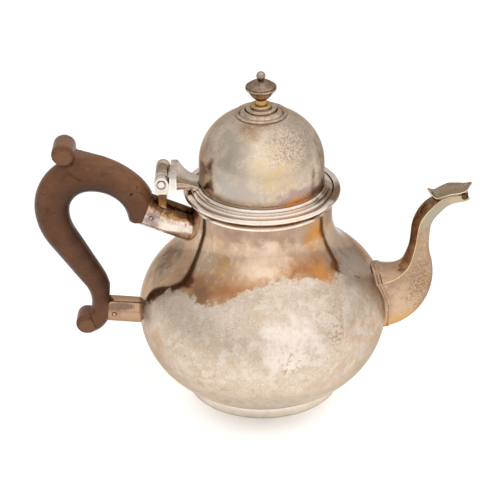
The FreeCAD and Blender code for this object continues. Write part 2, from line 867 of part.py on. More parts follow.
bar_path, arch_top = handle_path()
handle_bar = from_code("handle_bar", handle_shape(bar_path, arch_top))
thumb_place = beyond_arc(arch_top, size.crown_curve.value * bar_path.scale,
                         size.thumb_scroll_turn.value, size.thumb_scroll_rise.value)
thumb_scroll = cross_cylinder("thumb_scroll", size.thumb_scroll_radius, size.handle_top_width,
                              as_size(thumb_place.x), as_size(thumb_place.z))
web_x = as_size(thumb_place.x) + size.thumb_web_reach
web_z = as_size(thumb_place.z) - size.thumb_web_drop
thumb_web = padded("thumb_web", "XZ_Plane", [
    (as_size(thumb_place.x), as_size(thumb_place.z)),
    (as_size(arch_top[0].x), as_size(arch_top[0].z)),
    (as_size(arch_top[0].x), as_size(arch_top[0].z) + size.handle_top_thickness / 2),
    (web_x, web_z),
], size.thumb_web_width)
tail_place, tail_heading, _ = bar_path.stations[-1]
tail_place = tail_place + heading_vector(tail_heading) * size.tail_scroll_ahead.value
tail_place = tail_place + heading_vector(tail_heading - 90) * size.tail_scroll_aside.value
tail_scroll = cross_cylinder("tail_scroll", size.tail_scroll_radius, size.handle_tail_width,
                             as_size(tail_place.x), as_size(tail_place.z))
boss_turn = Rotation(Vector(0, 1, 0), lower.tilt.value + 180)
tail_boss = cylinder("tail_boss", size.lower_socket_radius - size.tail_boss_inset,
                     size.handle_tail_thickness / 2, (lower.x, 0, lower.z), boss_turn, lower.tilt + 180)
handle_blank = fused("handle_blank", handle_bar, thumb_scroll, thumb_web, tail_scroll, tail_boss)
handle_trimmed = cut("handle_trimmed", handle_blank,
                     fused("handle_trim", joint_trim(upper), joint_trim(lower)))
handle_joined = fused("handle_joined", handle_trimmed, tenon(upper), tenon(lower))
handle = cut("handle", handle_joined,
             fused("handle_pin_holes",
                   upper.pin_rod("wood_hole", size.handle_pin_radius, size.upper_socket_radius * 3),
                   lower.pin_rod("wood_hole", size.handle_pin_radius, size.lower_socket_radius * 3)))

# Spout: eight-sided section that narrows from the belly to a level head with an open mouth

RIDGE_SHARES = (0.7, 0.28)
HOOD_STATIONS = [(0.0, 0.15, 0.0), (0.1, 0.55, -0.7), (0.17, 0.8, -1.0), (0.33, 0.95, -0.5),
                 (0.49, 1.0, -0.05), (0.72, 0.9, 0.05), (0.87, 0.68, 0.2), (1.0, 0.1, 1.0)]


def eight_sides(run):
    """Shares of the eight-sided section; its side ridge comes down as the spout rises."""
    share = eased((run - size.spout_ridge_start.value) / size.spout_ridge_length.value)
    ridge = RIDGE_SHARES[0] * (1 - share) + RIDGE_SHARES[1] * share
    facets = [(1.0, 0.3), (ridge, 1.0), (-0.7, 0.8), (-1.0, 0.3)]
    return facets + [(tall, -wide) for tall, wide in reversed(facets)]


def spout_path():
    start = size.spout_start_angle.value
    bend = size.spout_neck_angle.value - start
    path = Path((size.belly_radius - size.spout_root_depth).value, spout_height.value, start)
    path.run(size.spout_root_length.value)
    path.turn(size.spout_lower_curve.value, bend, 4)
    path.run(size.spout_neck_length.value)
    path.turn(size.spout_upper_curve.value, -bend, 4)
    path.run(size.spout_head_length.value)
    return path


def spout_loft(growth, extra):
    """The spout as a solid, grown all round, its ends lengthened by extra."""
    path = spout_path()
    taper_start = path.stations[-1][2] - size.spout_taper_back.value
    if extra > 0:
        path.run(extra)
    wires = []
    for station in path.stations:
        run = station[2]
        share = eased((run - size.spout_root_length.value) / size.spout_flare_length.value)
        head = eased((run - taper_start) / size.spout_taper_length.value)
        tall = between(size.spout_base_tall, size.spout_neck_tall, share)
        tall += (size.spout_mouth_tall.value - tall) * head
        wide = between(size.spout_base_wide, size.spout_neck_wide, share)
        points = section_points(station, eight_sides(run), tall / 2 + growth, wide / 2 + growth)
        wires.append(faceted_wire(points))
    return Part.makeLoft(wires, True)


def hood_shape():
    """A leaf-shaped cover over the head, dished on top, its tip turned up."""
    mouth = spout_path().stations[-1][0]
    rim = mouth.z + size.spout_mouth_tall.value / 2 + size.hood_rise.value
    tip = mouth.x + size.hood_overhang.value
    rise = size.hood_tip_rise.value
    wires = []
    for along, wide, lift in HOOD_STATIONS:
        x = tip - size.hood_length.value * (1 - along)
        half = size.hood_half_width.value * wide
        edge = rim + rise * lift
        dish = size.hood_dish.value * wide
        keel = size.hood_keel.value * wide + size.hood_end_depth.value
        wires.append(faceted_wire([
            Vector(x, -half, edge),
            Vector(x, 0, edge - dish),
            Vector(x, half, edge),
            Vector(x, 0, edge - keel),
        ]))
    return Part.makeLoft(wires, True)


spout_outside = from_code("spout_outside", spout_loft(0.0, 0.0))
spout_bore = from_code("spout_bore", spout_loft(-size.spout_wall.value, size.spout_wall.value * 2))
spout_hood = from_code("spout_hood", hood_shape())
mouth = spout_path().stations[-1][0]
notch_x = as_size(mouth.x) - size.mouth_notch_back
notch_z = as_size(mouth.z) + size.mouth_notch_rise
mouth_notch = cross_cylinder("mouth_notch", size.mouth_notch_radius, size.spout_base_wide, notch_x, notch_z)
spout_notched = cut("spout_notched", spout_outside, mouth_notch)
spout_whole = cut("spout_whole", fused("spout_blank", spout_notched, spout_hood),
                  fused("spout_hollow", spout_bore, body_block))


def half_space(label, side):
    """A block that covers everything on one side of the XZ plane."""
    block = doc.addObject("Part::Box", label)
    for edge in ("Length", "Width", "Height"):
        block.setExpression(edge, (size.belly_radius * 4).formula)
    block.setExpression("Placement.Base.x", (-(size.belly_radius * 2)).formula)
    if side < 0:
        block.setExpression("Placement.Base.y", (-(size.belly_radius * 4)).formula)
    block.setExpression("Placement.Base.z", (-size.belly_radius).formula)
    return block


spout_left_half = common("spout_left_half", spout_whole, half_space("left_space", 1))
spout_right_half = common("spout_right_half", spout_whole, half_space("right_space", -1))

# Collar: a band round the root of the spout, fitted to the belly and to the spout

collar_outside = from_code("collar_outside", spout_loft(size.collar_proud.value, 0.0))
collar_reach = body_form("collar_reach", size.collar_depth)
collar_band = common("collar_band", collar_outside, collar_reach)
spout_collar = cut("spout_collar", collar_band, fused("collar_hollow", body_block, spout_outside))

doc.recompute()

NODES = {
    "body_shell": body_shell,
    "foot_ring": foot_ring,
    "base_disc": base_disc,
    "rim_moulding": rim_moulding,
    "spout_left_half": spout_left_half,
    "spout_right_half": spout_right_half,
    "spout_collar": spout_collar,
    "upper_socket": upper_socket,
    "lower_socket": lower_socket,
    "handle": handle,
    "upper_handle_pin": upper_handle_pin,
    "lower_handle_pin": lower_handle_pin,
    "hinge_bracket": hinge_bracket,
    "hinge_pin": hinge_pin,
    "hinge_leaf": hinge_leaf,
    "lid_flange": lid_flange,
    "lid_bezel": lid_bezel,
    "lid_dome": lid_dome,
    "finial_plate": finial_plate,
    "finial": finial,
    "finial_washer": finial_washer,
    "finial_nut": finial_nut,
}

for item in doc.Objects:
    if "Invalid" in item.State or "Error" in item.State:
        raise RuntimeError(f"{item.Label} failed: {item.State}")
for name, item in NODES.items():
    if item.Shape.isNull() or not item.Shape.isValid():
        raise RuntimeError(f"{name} has no valid shape")

os.makedirs("parts", exist_ok=True)
for name, item in NODES.items():
    item.Label = name
    item.Shape.exportStep(f"parts/{name}.step")
    box = item.Shape.BoundBox
    print(f"{name}: {len(item.Shape.Solids)} solid, {item.Shape.Volume:.1f} mm3, "
          f"x {box.XMin:.1f} to {box.XMax:.1f}, z {box.ZMin:.1f} to {box.ZMax:.1f}")
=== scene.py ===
import cmath
import math

import bmesh
import bpy
from mathutils import Matrix, Vector


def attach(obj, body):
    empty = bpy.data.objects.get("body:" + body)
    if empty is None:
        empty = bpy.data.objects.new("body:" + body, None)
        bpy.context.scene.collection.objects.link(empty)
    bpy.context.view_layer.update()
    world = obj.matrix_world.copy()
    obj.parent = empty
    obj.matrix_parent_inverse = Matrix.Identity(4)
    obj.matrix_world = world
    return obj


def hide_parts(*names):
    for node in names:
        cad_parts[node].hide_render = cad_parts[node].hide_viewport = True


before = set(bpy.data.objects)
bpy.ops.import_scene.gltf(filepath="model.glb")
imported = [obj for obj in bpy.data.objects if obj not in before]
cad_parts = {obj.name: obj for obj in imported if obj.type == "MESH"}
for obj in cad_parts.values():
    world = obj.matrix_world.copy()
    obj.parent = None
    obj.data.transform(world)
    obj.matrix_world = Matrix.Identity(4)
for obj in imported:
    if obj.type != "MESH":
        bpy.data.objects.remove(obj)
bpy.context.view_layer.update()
scene = bpy.context.scene

# A small tarnished silver pot with a hinged domed lid and a carved hardwood handle.
# Lengths are in millimetres until they go into a mesh; the frame is in metres.

MM = 0.001
ROUND = 160
ARC_STEP = 1.3
PATH_STEP = 1.4
SHARP = math.radians(32)
ALONG_Y = Matrix.Rotation(math.radians(90), 4, "X")

# Body and foot
BELLY_RADIUS = 59.0
BOWL_CURVE = 41.1
SHOULDER_CURVE = 32.5
NECK_CURVE = 25.9
NECK_RADIUS = 32.8
NECK_LENGTH = 12.65
BODY_WALL = 1.0
FOOT_RADIUS = 36.4
FOOT_INNER = 34.0
BASE_OPENING = 31.0
BASE_HEIGHT = 2.85
STRAINER_HOLE = 1.3
STRAINER_PITCH = 4.6
PUNCH_LENGTH = 12.0

# Lower edge of the brown tarnish on the body, as (x, height), and the span that its curve covers
TARNISH_EDGE = [(-60, 46), (-52, 54), (-40, 64), (-22, 65), (-5, 71), (12, 74), (25, 72), (36, 69),
                (46, 65), (54, 59), (60, 52)]
TARNISH_SIDE = 60
TARNISH_TOP = 100

BOWL_CENTRE = BELLY_RADIUS - BOWL_CURVE
SHOULDER_CENTRE = BELLY_RADIUS - SHOULDER_CURVE
BELLY_HEIGHT = BASE_HEIGHT + math.sqrt(BOWL_CURVE ** 2 - (BASE_OPENING - BOWL_CENTRE) ** 2)
CURVE_SPAN = SHOULDER_CURVE + NECK_CURVE
CENTRE_OFFSET = NECK_RADIUS + NECK_CURVE - SHOULDER_CENTRE
SWEEP_RISE = math.sqrt(CURVE_SPAN ** 2 - CENTRE_OFFSET ** 2)
NECK_START = BELLY_HEIGHT + SWEEP_RISE
SEAT = NECK_START + NECK_LENGTH

# Rim and lid
RIM_RADIUS = 36.0
RIM_COVE_HEIGHT = 4.6
RIM_COVE_CURVE = 5.5
BEAD_CURVE = 1.75
BEAD_RISE = 1.2
LEDGE_RADIUS = 33.35
LID_RADIUS = 33.0
LID_EDGE_HEIGHT = 1.5
STEP_RADIUS = 31.2
STEP_TOP = SEAT + 2.3
SHOULDER_RADIUS = 30.1
SHOULDER_TOP = SEAT + 3.4
DOME_RADIUS = 29.0
DOME_SPRING = SEAT + 13.8
DOME_CURVE = 25.0
DOME_WALL = 0.9
CROWN_FLAT = DOME_RADIUS - DOME_CURVE
DOME_TOP = DOME_SPRING + DOME_CURVE
BEZEL_RADIUS = 30.9
BEZEL_INNER = 29.7
BEZEL_DEPTH = 4.0

# Finial
PLATE_RADIUS = 12.0
PLATE_EDGE = 0.9
PLATE_BEAD = 10.3
PLATE_BEAD_RISE = 0.25
PLATE_BEAD_CURVE = 1.1
PLATE_MIDDLE_RADIUS = 7.1
PLATE_MIDDLE = DOME_TOP + 2.6
PLATE_TOP_RADIUS = 4.9
PLATE_TOP = DOME_TOP + 3.9
PLATE_SEAM = 0.3
PLATE_SWELL = 4.0
PLATE_ROUND = 0.8
STUD_HOLE = 1.55
STUD_RADIUS = 1.5
STUD_TIP = DOME_TOP - 4.7
STEM_FOOT = 2.8
STEM_RADIUS = 2.45
STEM_CURVE = 6.0
STEM_TOP = PLATE_TOP + 2.0
KNOP_RADIUS = 7.0
KNOP_WIDEST = STEM_TOP + 6.25
KNOP_BAND = 1.8
KNOP_BAND_INSET = 0.6
KNOP_BAND_CURVE = 1.5
KNOP_GROOVE = 0.4
KNOP_OVER_CURVE = 15.0
KNOP_UNDER_CURVE = 14.0
KNOP_TOP = KNOP_WIDEST + KNOP_GROOVE + 3.1
COLLARETTE_RADIUS = 2.4
BALL_RADIUS = 2.1
BALL_NECK = 1.2
BALL_CENTRE = KNOP_TOP + math.sqrt(BALL_RADIUS ** 2 - BALL_NECK ** 2)

# Sockets: a joint is a place x + zi in the upright plane through the pot's axis
SOCKET_WALL = 1.0
SOCKET_LENGTH = 32.0
PIN_RADIUS = 0.9
PIN_GAP = 0.28
PIN_PROUD = 0.25
TENON_CLEARANCE = 0.15
UPPER_JOINT = complex(-54.3, SEAT - 10.2)
UPPER_RADIUS = 7.75
UPPER_TILT = 22.0
UPPER_TENON = 13.0
UPPER_PIN = 3.2
LOWER_JOINT = complex(-73.8, BELLY_HEIGHT - 1.7)
LOWER_RADIUS = 6.15
LOWER_TILT = 4.9
LOWER_TENON = 9.0
LOWER_PIN = 3.0

# Hinge
HINGE_AXIS = complex(-45.9, SEAT + 7.12)
BARREL_LENGTH = 21.0
HINGE_PIN_RADIUS = 1.6
COUNTERSINK = 2.3
COUNTERSINK_DEPTH = 0.7
LEAF_CORNER = 1.5

# Handle
ROOT_OFFSET = complex(-1.2, -4.0)
TAIL_OFFSET = complex(-9.1, -8.6)
START_HEADING = 100.0
ROOT_RUN = 3.6
ARCH_CURVE = 23.4
ARCH_TURN = 80.0
CROWN_CURVE = 18.7
HANDLE_MOVES = [(ROOT_RUN,), (ARCH_CURVE, ARCH_TURN), (CROWN_CURVE, 90.0), (26.0, 32.0), (26.2,),
                (21.4, -40.0), (5.0,), (8.0, -62.0)]
JOINT_THICKNESS = 13.8
JOINT_WIDTH = 15.3
TOP_THICKNESS = 18.6
TOP_WIDTH = 12.8
TAIL_THICKNESS = 7.8
TAIL_WIDTH = 10.4
TAPER_POWER = 1.3
OVAL_FULLNESS = 0.95
THUMB_RADIUS = 5.3
THUMB_TURN = 20.9
THUMB_RISE = 13.6
SCROLL_CORNER = 0.4
ARCH_BACK = [(0.0, 0.5), (0.3, 0.4), (0.65, -1.6), (0.85, -0.9), (1.0, 0.0)]
ARCH_EASE = 0.07
WEB_REACH = complex(5.1, -1.3)
WEB_WIDTH = 9.6
WEB_HEADING = 164.0
WEB_SINK = 0.5
WEB_TAPER = 0.2
TAIL_RADIUS = 5.2
TAIL_AHEAD = complex(0.56, -2.64)
BOSS_INSET = 0.4
CARVED_LINES = [[complex(-90.8, 116.0), complex(-88.5, 114.4), complex(-83.0, 110.6)],
                [complex(-82.5, 38.0), complex(-80.0, 32.0)]]
LINE_RADIUS = 0.5
WOOD_CELL = 0.5
UPPER_CUT_ABOVE = 70.0
LOWER_CUT_BELOW = 60.0

# Spout
SPOUT_ROOT = complex(BELLY_RADIUS - 11.0, BELLY_HEIGHT + 3.1)
ROOT_LENGTH = 8.0
TIP_LENGTH = 2.4
TIP_ROUND = 0.92
TIP_STEPS = 4
SPOUT_MOVES = [(ROOT_LENGTH,), (21.0, 76.0), (16.2,), (17.0, -76.0), (8.0 - TIP_LENGTH,)]
SPOUT_MOVES += [(TIP_LENGTH / TIP_STEPS,)] * TIP_STEPS
SPOUT_HEADING = 10.0
# Corners of its section beside the ridge, as shares up + out i: back, cheek and keel
SPOUT_CORNERS = (1 + 0.3j, -0.7 + 0.8j, -1 + 0.3j)
SPOUT_BASE = (33.0, 23.0)
SPOUT_NECK = (9.0, 9.0)
FLARE_LENGTH = 39.0
MOUTH_TALL = 3.8
TAPER_BACK = 18.6
TAPER_LENGTH = 13.0
RIDGE_START = 14.0
RIDGE_LENGTH = 50.0
ROOT_RIDGE = 0.7
NECK_RIDGE = 0.28
HEAD_RIDGE = 1.4
RIDGE_ANGLE = math.radians(20)
RIDGE_BEVEL = 0.45
RIDGE_LEAN = 0.02
BACK_LEAN = 0.55
SPOUT_WALL = 0.8
NOTCH_RADIUS = 1.6
NOTCH_OFFSET = complex(-2.4, 1.1)
COLLAR_PROUD = 0.5
COLLAR_DEPTH = 2.8

# Hood over the mouth: shares along it, of its half width and of its tip's rise
HOOD = [(0.0, 0.15, 0.0), (0.1, 0.55, -0.7), (0.17, 0.8, -1.0), (0.33, 0.95, -0.5),
        (0.49, 1.0, -0.05), (0.72, 0.9, 0.05), (0.87, 0.68, 0.2), (1.0, 0.1, 1.0)]
HOOD_LENGTH = 20.2
HOOD_HALF_WIDTH = 6.2
HOOD_RISE = 1.83
HOOD_OVERHANG = 1.0
HOOD_DISH = 0.6
HOOD_KEEL = 2.4
KEEL_FULLNESS = 0.25
HOOD_EDGE = 0.55
HOOD_LIP = 0.33
LIP_LEAN = (0.55, 0.72)
HOOD_EASE = 0.02
HOOD_STEPS = 40
TIP_RISE = 3.0


# Shapes

def arc(start, finish, bend):
    """Points along the arc of signed radius bend from start to finish, without the start."""
    chord = complex(*finish) - complex(*start)
    offset = math.copysign(math.sqrt(max(bend * bend - abs(chord) ** 2 / 4, 0.0)), bend)
    centre = complex(*start) + chord / 2 + 1j * chord / abs(chord) * offset
    arm = complex(*start) - centre
    turn = cmath.phase((complex(*finish) - centre) / arm) % (2 * math.pi)
    if bend < 0:
        turn -= 2 * math.pi
    steps = max(8, round(abs(turn * bend) / ARC_STEP))
    places = [centre + arm * cmath.exp(1j * turn * step / steps) for step in range(1, steps + 1)]
    return [(place.real, place.imag) for place in places]


def outline(entries):
    """Points of an outline: each entry is (x, y), or (x, y, bend) where an arc arrives there."""
    points = [entries[0][:2]]
    for entry in entries[1:]:
        if len(entry) == 3:
            points += arc(points[-1], entry[:2], entry[2])
        else:
            points.append(entry)
    return points


def bevelled(bm, edges, width, segments, clamped=True):
    """Bevels edges by a width, in this many steps."""
    bmesh.ops.bevel(bm, geom=edges, offset=width * MM, offset_type="OFFSET", affect="EDGES",
                    segments=segments, profile=0.5, material=-1, clamp_overlap=clamped)


def soften(bm, corner=0.0):
    """Rounds off the sharp edges and marks those that stay sharp."""
    bmesh.ops.recalc_face_normals(bm, faces=bm.faces)
    sharp = [edge for edge in bm.edges if len(edge.link_faces) == 2 and edge.calc_face_angle() > SHARP]
    if corner and sharp:
        bevelled(bm, sharp, corner, 2)
    for edge in bm.edges:
        edge.smooth = len(edge.link_faces) != 2 or edge.calc_face_angle() < SHARP
    return bm


def turned(entries, corner=0.18):
    """A closed outline of (radius, height) spun round the pot's axis."""
    bm = bmesh.new()
    ring = [bm.verts.new((radius * MM, 0, height * MM)) for radius, height in outline(entries)]
    edges = [bm.edges.new(pair) for pair in zip(ring, ring[1:] + ring[:1])]
    bmesh.ops.rotate(bm, cent=(0, 0, 0), matrix=Matrix.Rotation(math.pi / ROUND, 3, "Z"), verts=ring)
    bmesh.ops.spin(bm, geom=ring + edges, cent=(0, 0, 0), axis=(0, 0, 1),
                   angle=2 * math.pi, steps=ROUND, use_merge=True)
    bmesh.ops.remove_doubles(bm, verts=bm.verts, dist=1e-7)
    bmesh.ops.dissolve_degenerate(bm, edges=bm.edges, dist=1e-7)
    return soften(bm, corner)


def peg(bm, radius, length, place):
    """A round peg made along Z and moved by a matrix; gives its points."""
    made = bmesh.ops.create_cone(bm, cap_ends=True, segments=48, radius1=radius * MM, radius2=radius * MM,
                                 depth=length * MM)["verts"]
    bmesh.ops.transform(bm, matrix=place, verts=made)
    return made


def rod(bm, radius, length, middle, turn, corner):
    """A peg round a middle with softened ends, its axis turned from Z."""
    made = peg(bm, radius, length, Matrix.Translation(Vector(middle) * MM) @ turn)
    if corner:
        rims = [edge for edge in bm.edges if all(vert in made for vert in edge.verts)
                and any(len(face.verts) > 4 for face in edge.link_faces)]
        bevelled(bm, rims, corner, 3, False)


def cross_rod(bm, radius, length, place, corner=0.0):
    """A rod across the pot through a place x + zi."""
    rod(bm, radius, length, (place.real, 0, place.imag), ALONG_Y, corner)


def lofted(bm, sections, capped):
    """A skin through sections of equal count, each ring bridged to the one before."""
    loops = []
    for places in sections:
        ring = [bm.verts.new(place) for place in places]
        loops.append([bm.edges.new(pair) for pair in zip(ring, ring[1:] + ring[:1])])
    for before, after in zip(loops, loops[1:]):
        bmesh.ops.bridge_loops(bm, edges=before + after)
    if capped:
        for end in (loops[0], loops[-1]):
            bmesh.ops.contextual_create(bm, geom=end)
    bmesh.ops.recalc_face_normals(bm, faces=bm.faces)


def from_cad(node):
    """A merged copy of a node's mesh, with its flat faces joined up."""
    bm = bmesh.new()
    bm.from_mesh(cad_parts[node].data)
    bmesh.ops.remove_doubles(bm, verts=bm.verts, dist=2e-6)
    bmesh.ops.dissolve_limit(bm, angle_limit=math.radians(0.5), verts=bm.verts, edges=bm.edges)
    return bm


def set_down(name, bm):
    """An object of its own for a mesh."""
    mesh = bpy.data.meshes.new(name)
    bm.to_mesh(mesh)
    bm.free()
    made = bpy.data.objects.new(name, mesh)
    scene.collection.objects.link(made)
    return made


def modified(bm, kind, **settings):
    """The mesh after one modifier."""
    blank = set_down("blank", bm)
    modifier = blank.modifiers.new("work", kind)
    for name, setting in settings.items():
        setattr(modifier, name, setting)
    bpy.context.view_layer.update()
    result = bpy.data.meshes.new_from_object(blank.evaluated_get(bpy.context.evaluated_depsgraph_get()))
    bpy.data.objects.remove(blank)
    made = bmesh.new()
    made.from_mesh(result)
    return made


def cut_by(bm, tool):
    """The mesh with the tool's shape taken out of it."""
    cutter = set_down("cutter", tool)
    made = modified(bm, "BOOLEAN", operation="DIFFERENCE", object=cutter, solver="EXACT")
    bpy.data.objects.remove(cutter)
    return made


def piece(name, bm, body, material, *nodes, slot="silver"):
    """A finished piece that rides on a body in place of its CAD nodes."""
    made = set_down(name, bm)
    for polygon in made.data.polygons:
        polygon.use_smooth = True
    made.data.materials.append(material)
    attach(made, body)
    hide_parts(*nodes)
    return made


def within(bm, place, reach):
    """The points of a mesh within a reach of a place x + zi, at any depth."""
    return [vert for vert in bm.verts if abs(complex(vert.co.x, vert.co.z) / MM - place) < reach]


# Paths: stations of (place x + zi, heading, run) through straight runs and tangent arcs

def walk(place, heading, moves):
    """Stations along moves of (length,) or (radius, turn); a positive turn goes left."""
    run = 0.0
    stations = [(place, heading, run)]
    for move in moves:
        turn = move[1] if len(move) == 2 else 0.0
        length = move[0] * math.radians(abs(turn)) if turn else move[0]
        steps = max(2, round(length / PATH_STEP))
        stride = length / steps
        if turn:
            stride = 2 * move[0] * math.sin(math.radians(abs(turn)) / steps / 2)
        for _ in range(steps):
            place += cmath.rect(stride, math.radians(heading + turn / steps / 2))
            heading += turn / steps
            run += length / steps
            stations.append((place, heading, run))
    return stations


def fitted(stations, start, finish):
    """The path turned and scaled so that it runs from start to finish."""
    first = stations[0][0]
    scale = (finish - start) / (stations[-1][0] - first)
    turn = math.degrees(cmath.phase(scale))
    return [(start + (place - first) * scale, heading + turn, run * abs(scale))
            for place, heading, run in stations]


def eased(share):
    share = min(max(share, 0.0), 1.0)
    return share * share * (3 - 2 * share)


def mixed(first, last, share):
    return first * (1 - share) + last * share


def between(rows, along, column):
    """A column's value at a share of a length, straight between rows of (share, value, ...)."""
    along = min(max(along, 0.0), 1.0)
    before, after = next(pair for pair in zip(rows, rows[1:]) if along <= pair[1][0])
    return mixed(before[column], after[column], (along - before[0]) / (after[0] - before[0]))


def flowing(rows, along, column, spread):
    """The same with its corners eased, as the mean of values close by."""
    return sum(between(rows, along + step * spread, column) for step in range(-2, 3)) / 5


def section(station, shape, half_tall, half_wide):
    """Places of a cross-section: shape gives shares up + out i, up being left of the heading."""
    place, heading, _ = station
    up = cmath.rect(half_tall, math.radians(heading + 90))
    places = [(place + up * share.real, half_wide * share.imag) for share in shape]
    return [Vector((at.real, out, at.imag)) * MM for at, out in places]


# Materials

def linear(code):
    """Linear colour from an sRGB hex code."""
    parts = [int(code[index:index + 2], 16) / 255 for index in (1, 3, 5)]
    return [part / 12.92 if part <= 0.04045 else ((part + 0.055) / 1.055) ** 2.4 for part in parts] + [1.0]


class Nodes:
    """Adds the nodes of one tree and links them."""

    def __init__(self, tree):
        self.tree = tree

    def add(self, kind, inputs, output=0, **settings):
        """One output of a new node; each input is a constant or another node's output."""
        made = self.tree.nodes.new(kind)
        for name, setting in settings.items():
            setattr(made, name, setting)
        for name, given in inputs.items():
            self.feed(made.inputs[name], given)
        return made.outputs[output]

    def feed(self, socket, given):
        if isinstance(given, bpy.types.NodeSocket):
            self.tree.links.new(given, socket)
        else:
            socket.default_value = given


class Finish(Nodes):
    """A procedural material in object coordinates, built up in layers."""

    def __init__(self, name, colour):
        self.material = bpy.data.materials.new(name)
        self.material.use_nodes = True
        super().__init__(self.material.node_tree)
        self.shader = self.tree.nodes["Principled BSDF"]
        self.place = self.add("ShaderNodeTexCoord", {}, "Object")
        self.colour = linear(colour)

    def cloud(self, size, low, high, least=0.0, most=1.0, stretch=(1, 1, 1), rough=0.55):
        """Noise with features of about this size in millimetres, spread from least to most."""
        place = self.add("ShaderNodeMapping", {"Vector": self.place, "Scale": stretch})
        grain = self.add("ShaderNodeTexNoise", {"Vector": place, "Scale": 1 / (size * MM),
                                                "Detail": 4.0, "Roughness": rough})
        return self.add("ShaderNodeMapRange", {"Value": grain, "From Min": low, "From Max": high,
                                               "To Min": least, "To Max": most},
                        interpolation_type="SMOOTHSTEP")

    def near(self, centre, reach, edge, ragged, across=(1, 1, 1)):
        """A mask that is 1 round a place and fades out at its reach, with a ragged edge."""
        flat = self.add("ShaderNodeMapping", {"Vector": self.place, "Scale": across})
        away = self.add("ShaderNodeVectorMath", {0: flat, 1: [part * MM for part in centre]}, "Value",
                        operation="DISTANCE")
        wander = self.cloud(ragged * 1.5, 0.25, 0.75, -ragged * MM, ragged * MM)
        away = self.add("ShaderNodeMath", {0: away, 1: wander}, operation="ADD")
        return self.add("ShaderNodeMapRange", {"Value": away, "From Min": reach * edge * MM,
                                               "From Max": reach * MM, "To Min": 1.0, "To Max": 0.0},
                        interpolation_type="SMOOTHSTEP")

    def level(self, height, reach, edge, ragged):
        """The same mask for a level band all the way round."""
        return self.near((0, 0, height), reach, edge, ragged, (0, 0, 1))

    def worn(self, least, most):
        """Roughness that wanders between two values, as wear leaves it."""
        return self.cloud(6.0, 0.3, 0.7, least, most)

    def corners(self, reach, most):
        """A mask of the corners and seams, where less light gets in: painted shade, with the dirt that
        stays there.
        """
        open_share = self.add("ShaderNodeAmbientOcclusion", {"Distance": reach * MM}, "AO", samples=6)
        return self.add("ShaderNodeMapRange", {"Value": open_share, "From Min": 0.3, "From Max": 0.72,
                                               "To Min": most, "To Max": 0.0})

    def lay(self, colour, *masks):
        """Lays a colour over what is there, where all the masks meet."""
        mask = masks[0]
        for other in masks[1:]:
            mask = self.add("ShaderNodeMath", {0: mask, 1: other}, operation="MULTIPLY")
        self.colour = self.add("ShaderNodeMix", {0: mask, 6: self.colour, 7: linear(colour)}, 2,
                               data_type="RGBA")

    def stain(self, colour, centre, reach, edge=0.4, ragged=4.0, *masks, across=(1, 1, 1)):
        """Lays a colour round a place, where the other masks let it."""
        self.lay(colour, self.near(centre, reach, edge, ragged, across), *masks)

    def done(self, roughness, height=None, depth=0.0, **constants):
        """The material, with its layers and a bump on the shader and the other sockets set."""
        self.feed(self.shader.inputs["Base Color"], self.colour)
        self.feed(self.shader.inputs["Roughness"], roughness)
        for name, given in constants.items():
            self.shader.inputs[name.replace("_", " ")].default_value = given
        if height is not None:
            normal = self.add("ShaderNodeBump", {"Height": height, "Distance": depth * MM})
            self.feed(self.shader.inputs["Normal"], normal)
        return self.material


def silver(name, colour, film, cloudy, speckle):
    """Old hand-raised silver: clouds of tarnish film, mottling and fine dark and pale speckle."""
    made = Finish(name, colour)
    made.lay(film, made.cloud(15.0, 0.42, 0.72, 0.0, cloudy))
    made.lay(film, made.cloud(3.5, 0.5, 0.64, 0.0, cloudy * 0.7, rough=0.65))
    made.lay("#84705d", made.cloud(0.8, 0.5, 0.72, 0.0, speckle, rough=0.7))
    made.lay("#f4eae0", made.cloud(0.9, 0.52, 0.7, 0.0, speckle, (1.0, 1.0, 0.6), 0.7))
    return made


def silver_done(made, polish, dirt_and_shade=0.7):
    """Dirt and painted shade in the corners, a skin that is not quite flat and a duller glancing
    reflection.
    """
    # Dark colour where ambient occlusion finds the surface shut in: painted shade as well as dirt in
    # corners and seams
    made.lay("#35261c", made.corners(1.0, dirt_and_shade))
    return made.done(polish, made.cloud(0.9, 0.2, 0.8), 0.006, Metallic=1.0,
                     Specular_Tint=linear("#cbc2ba"))


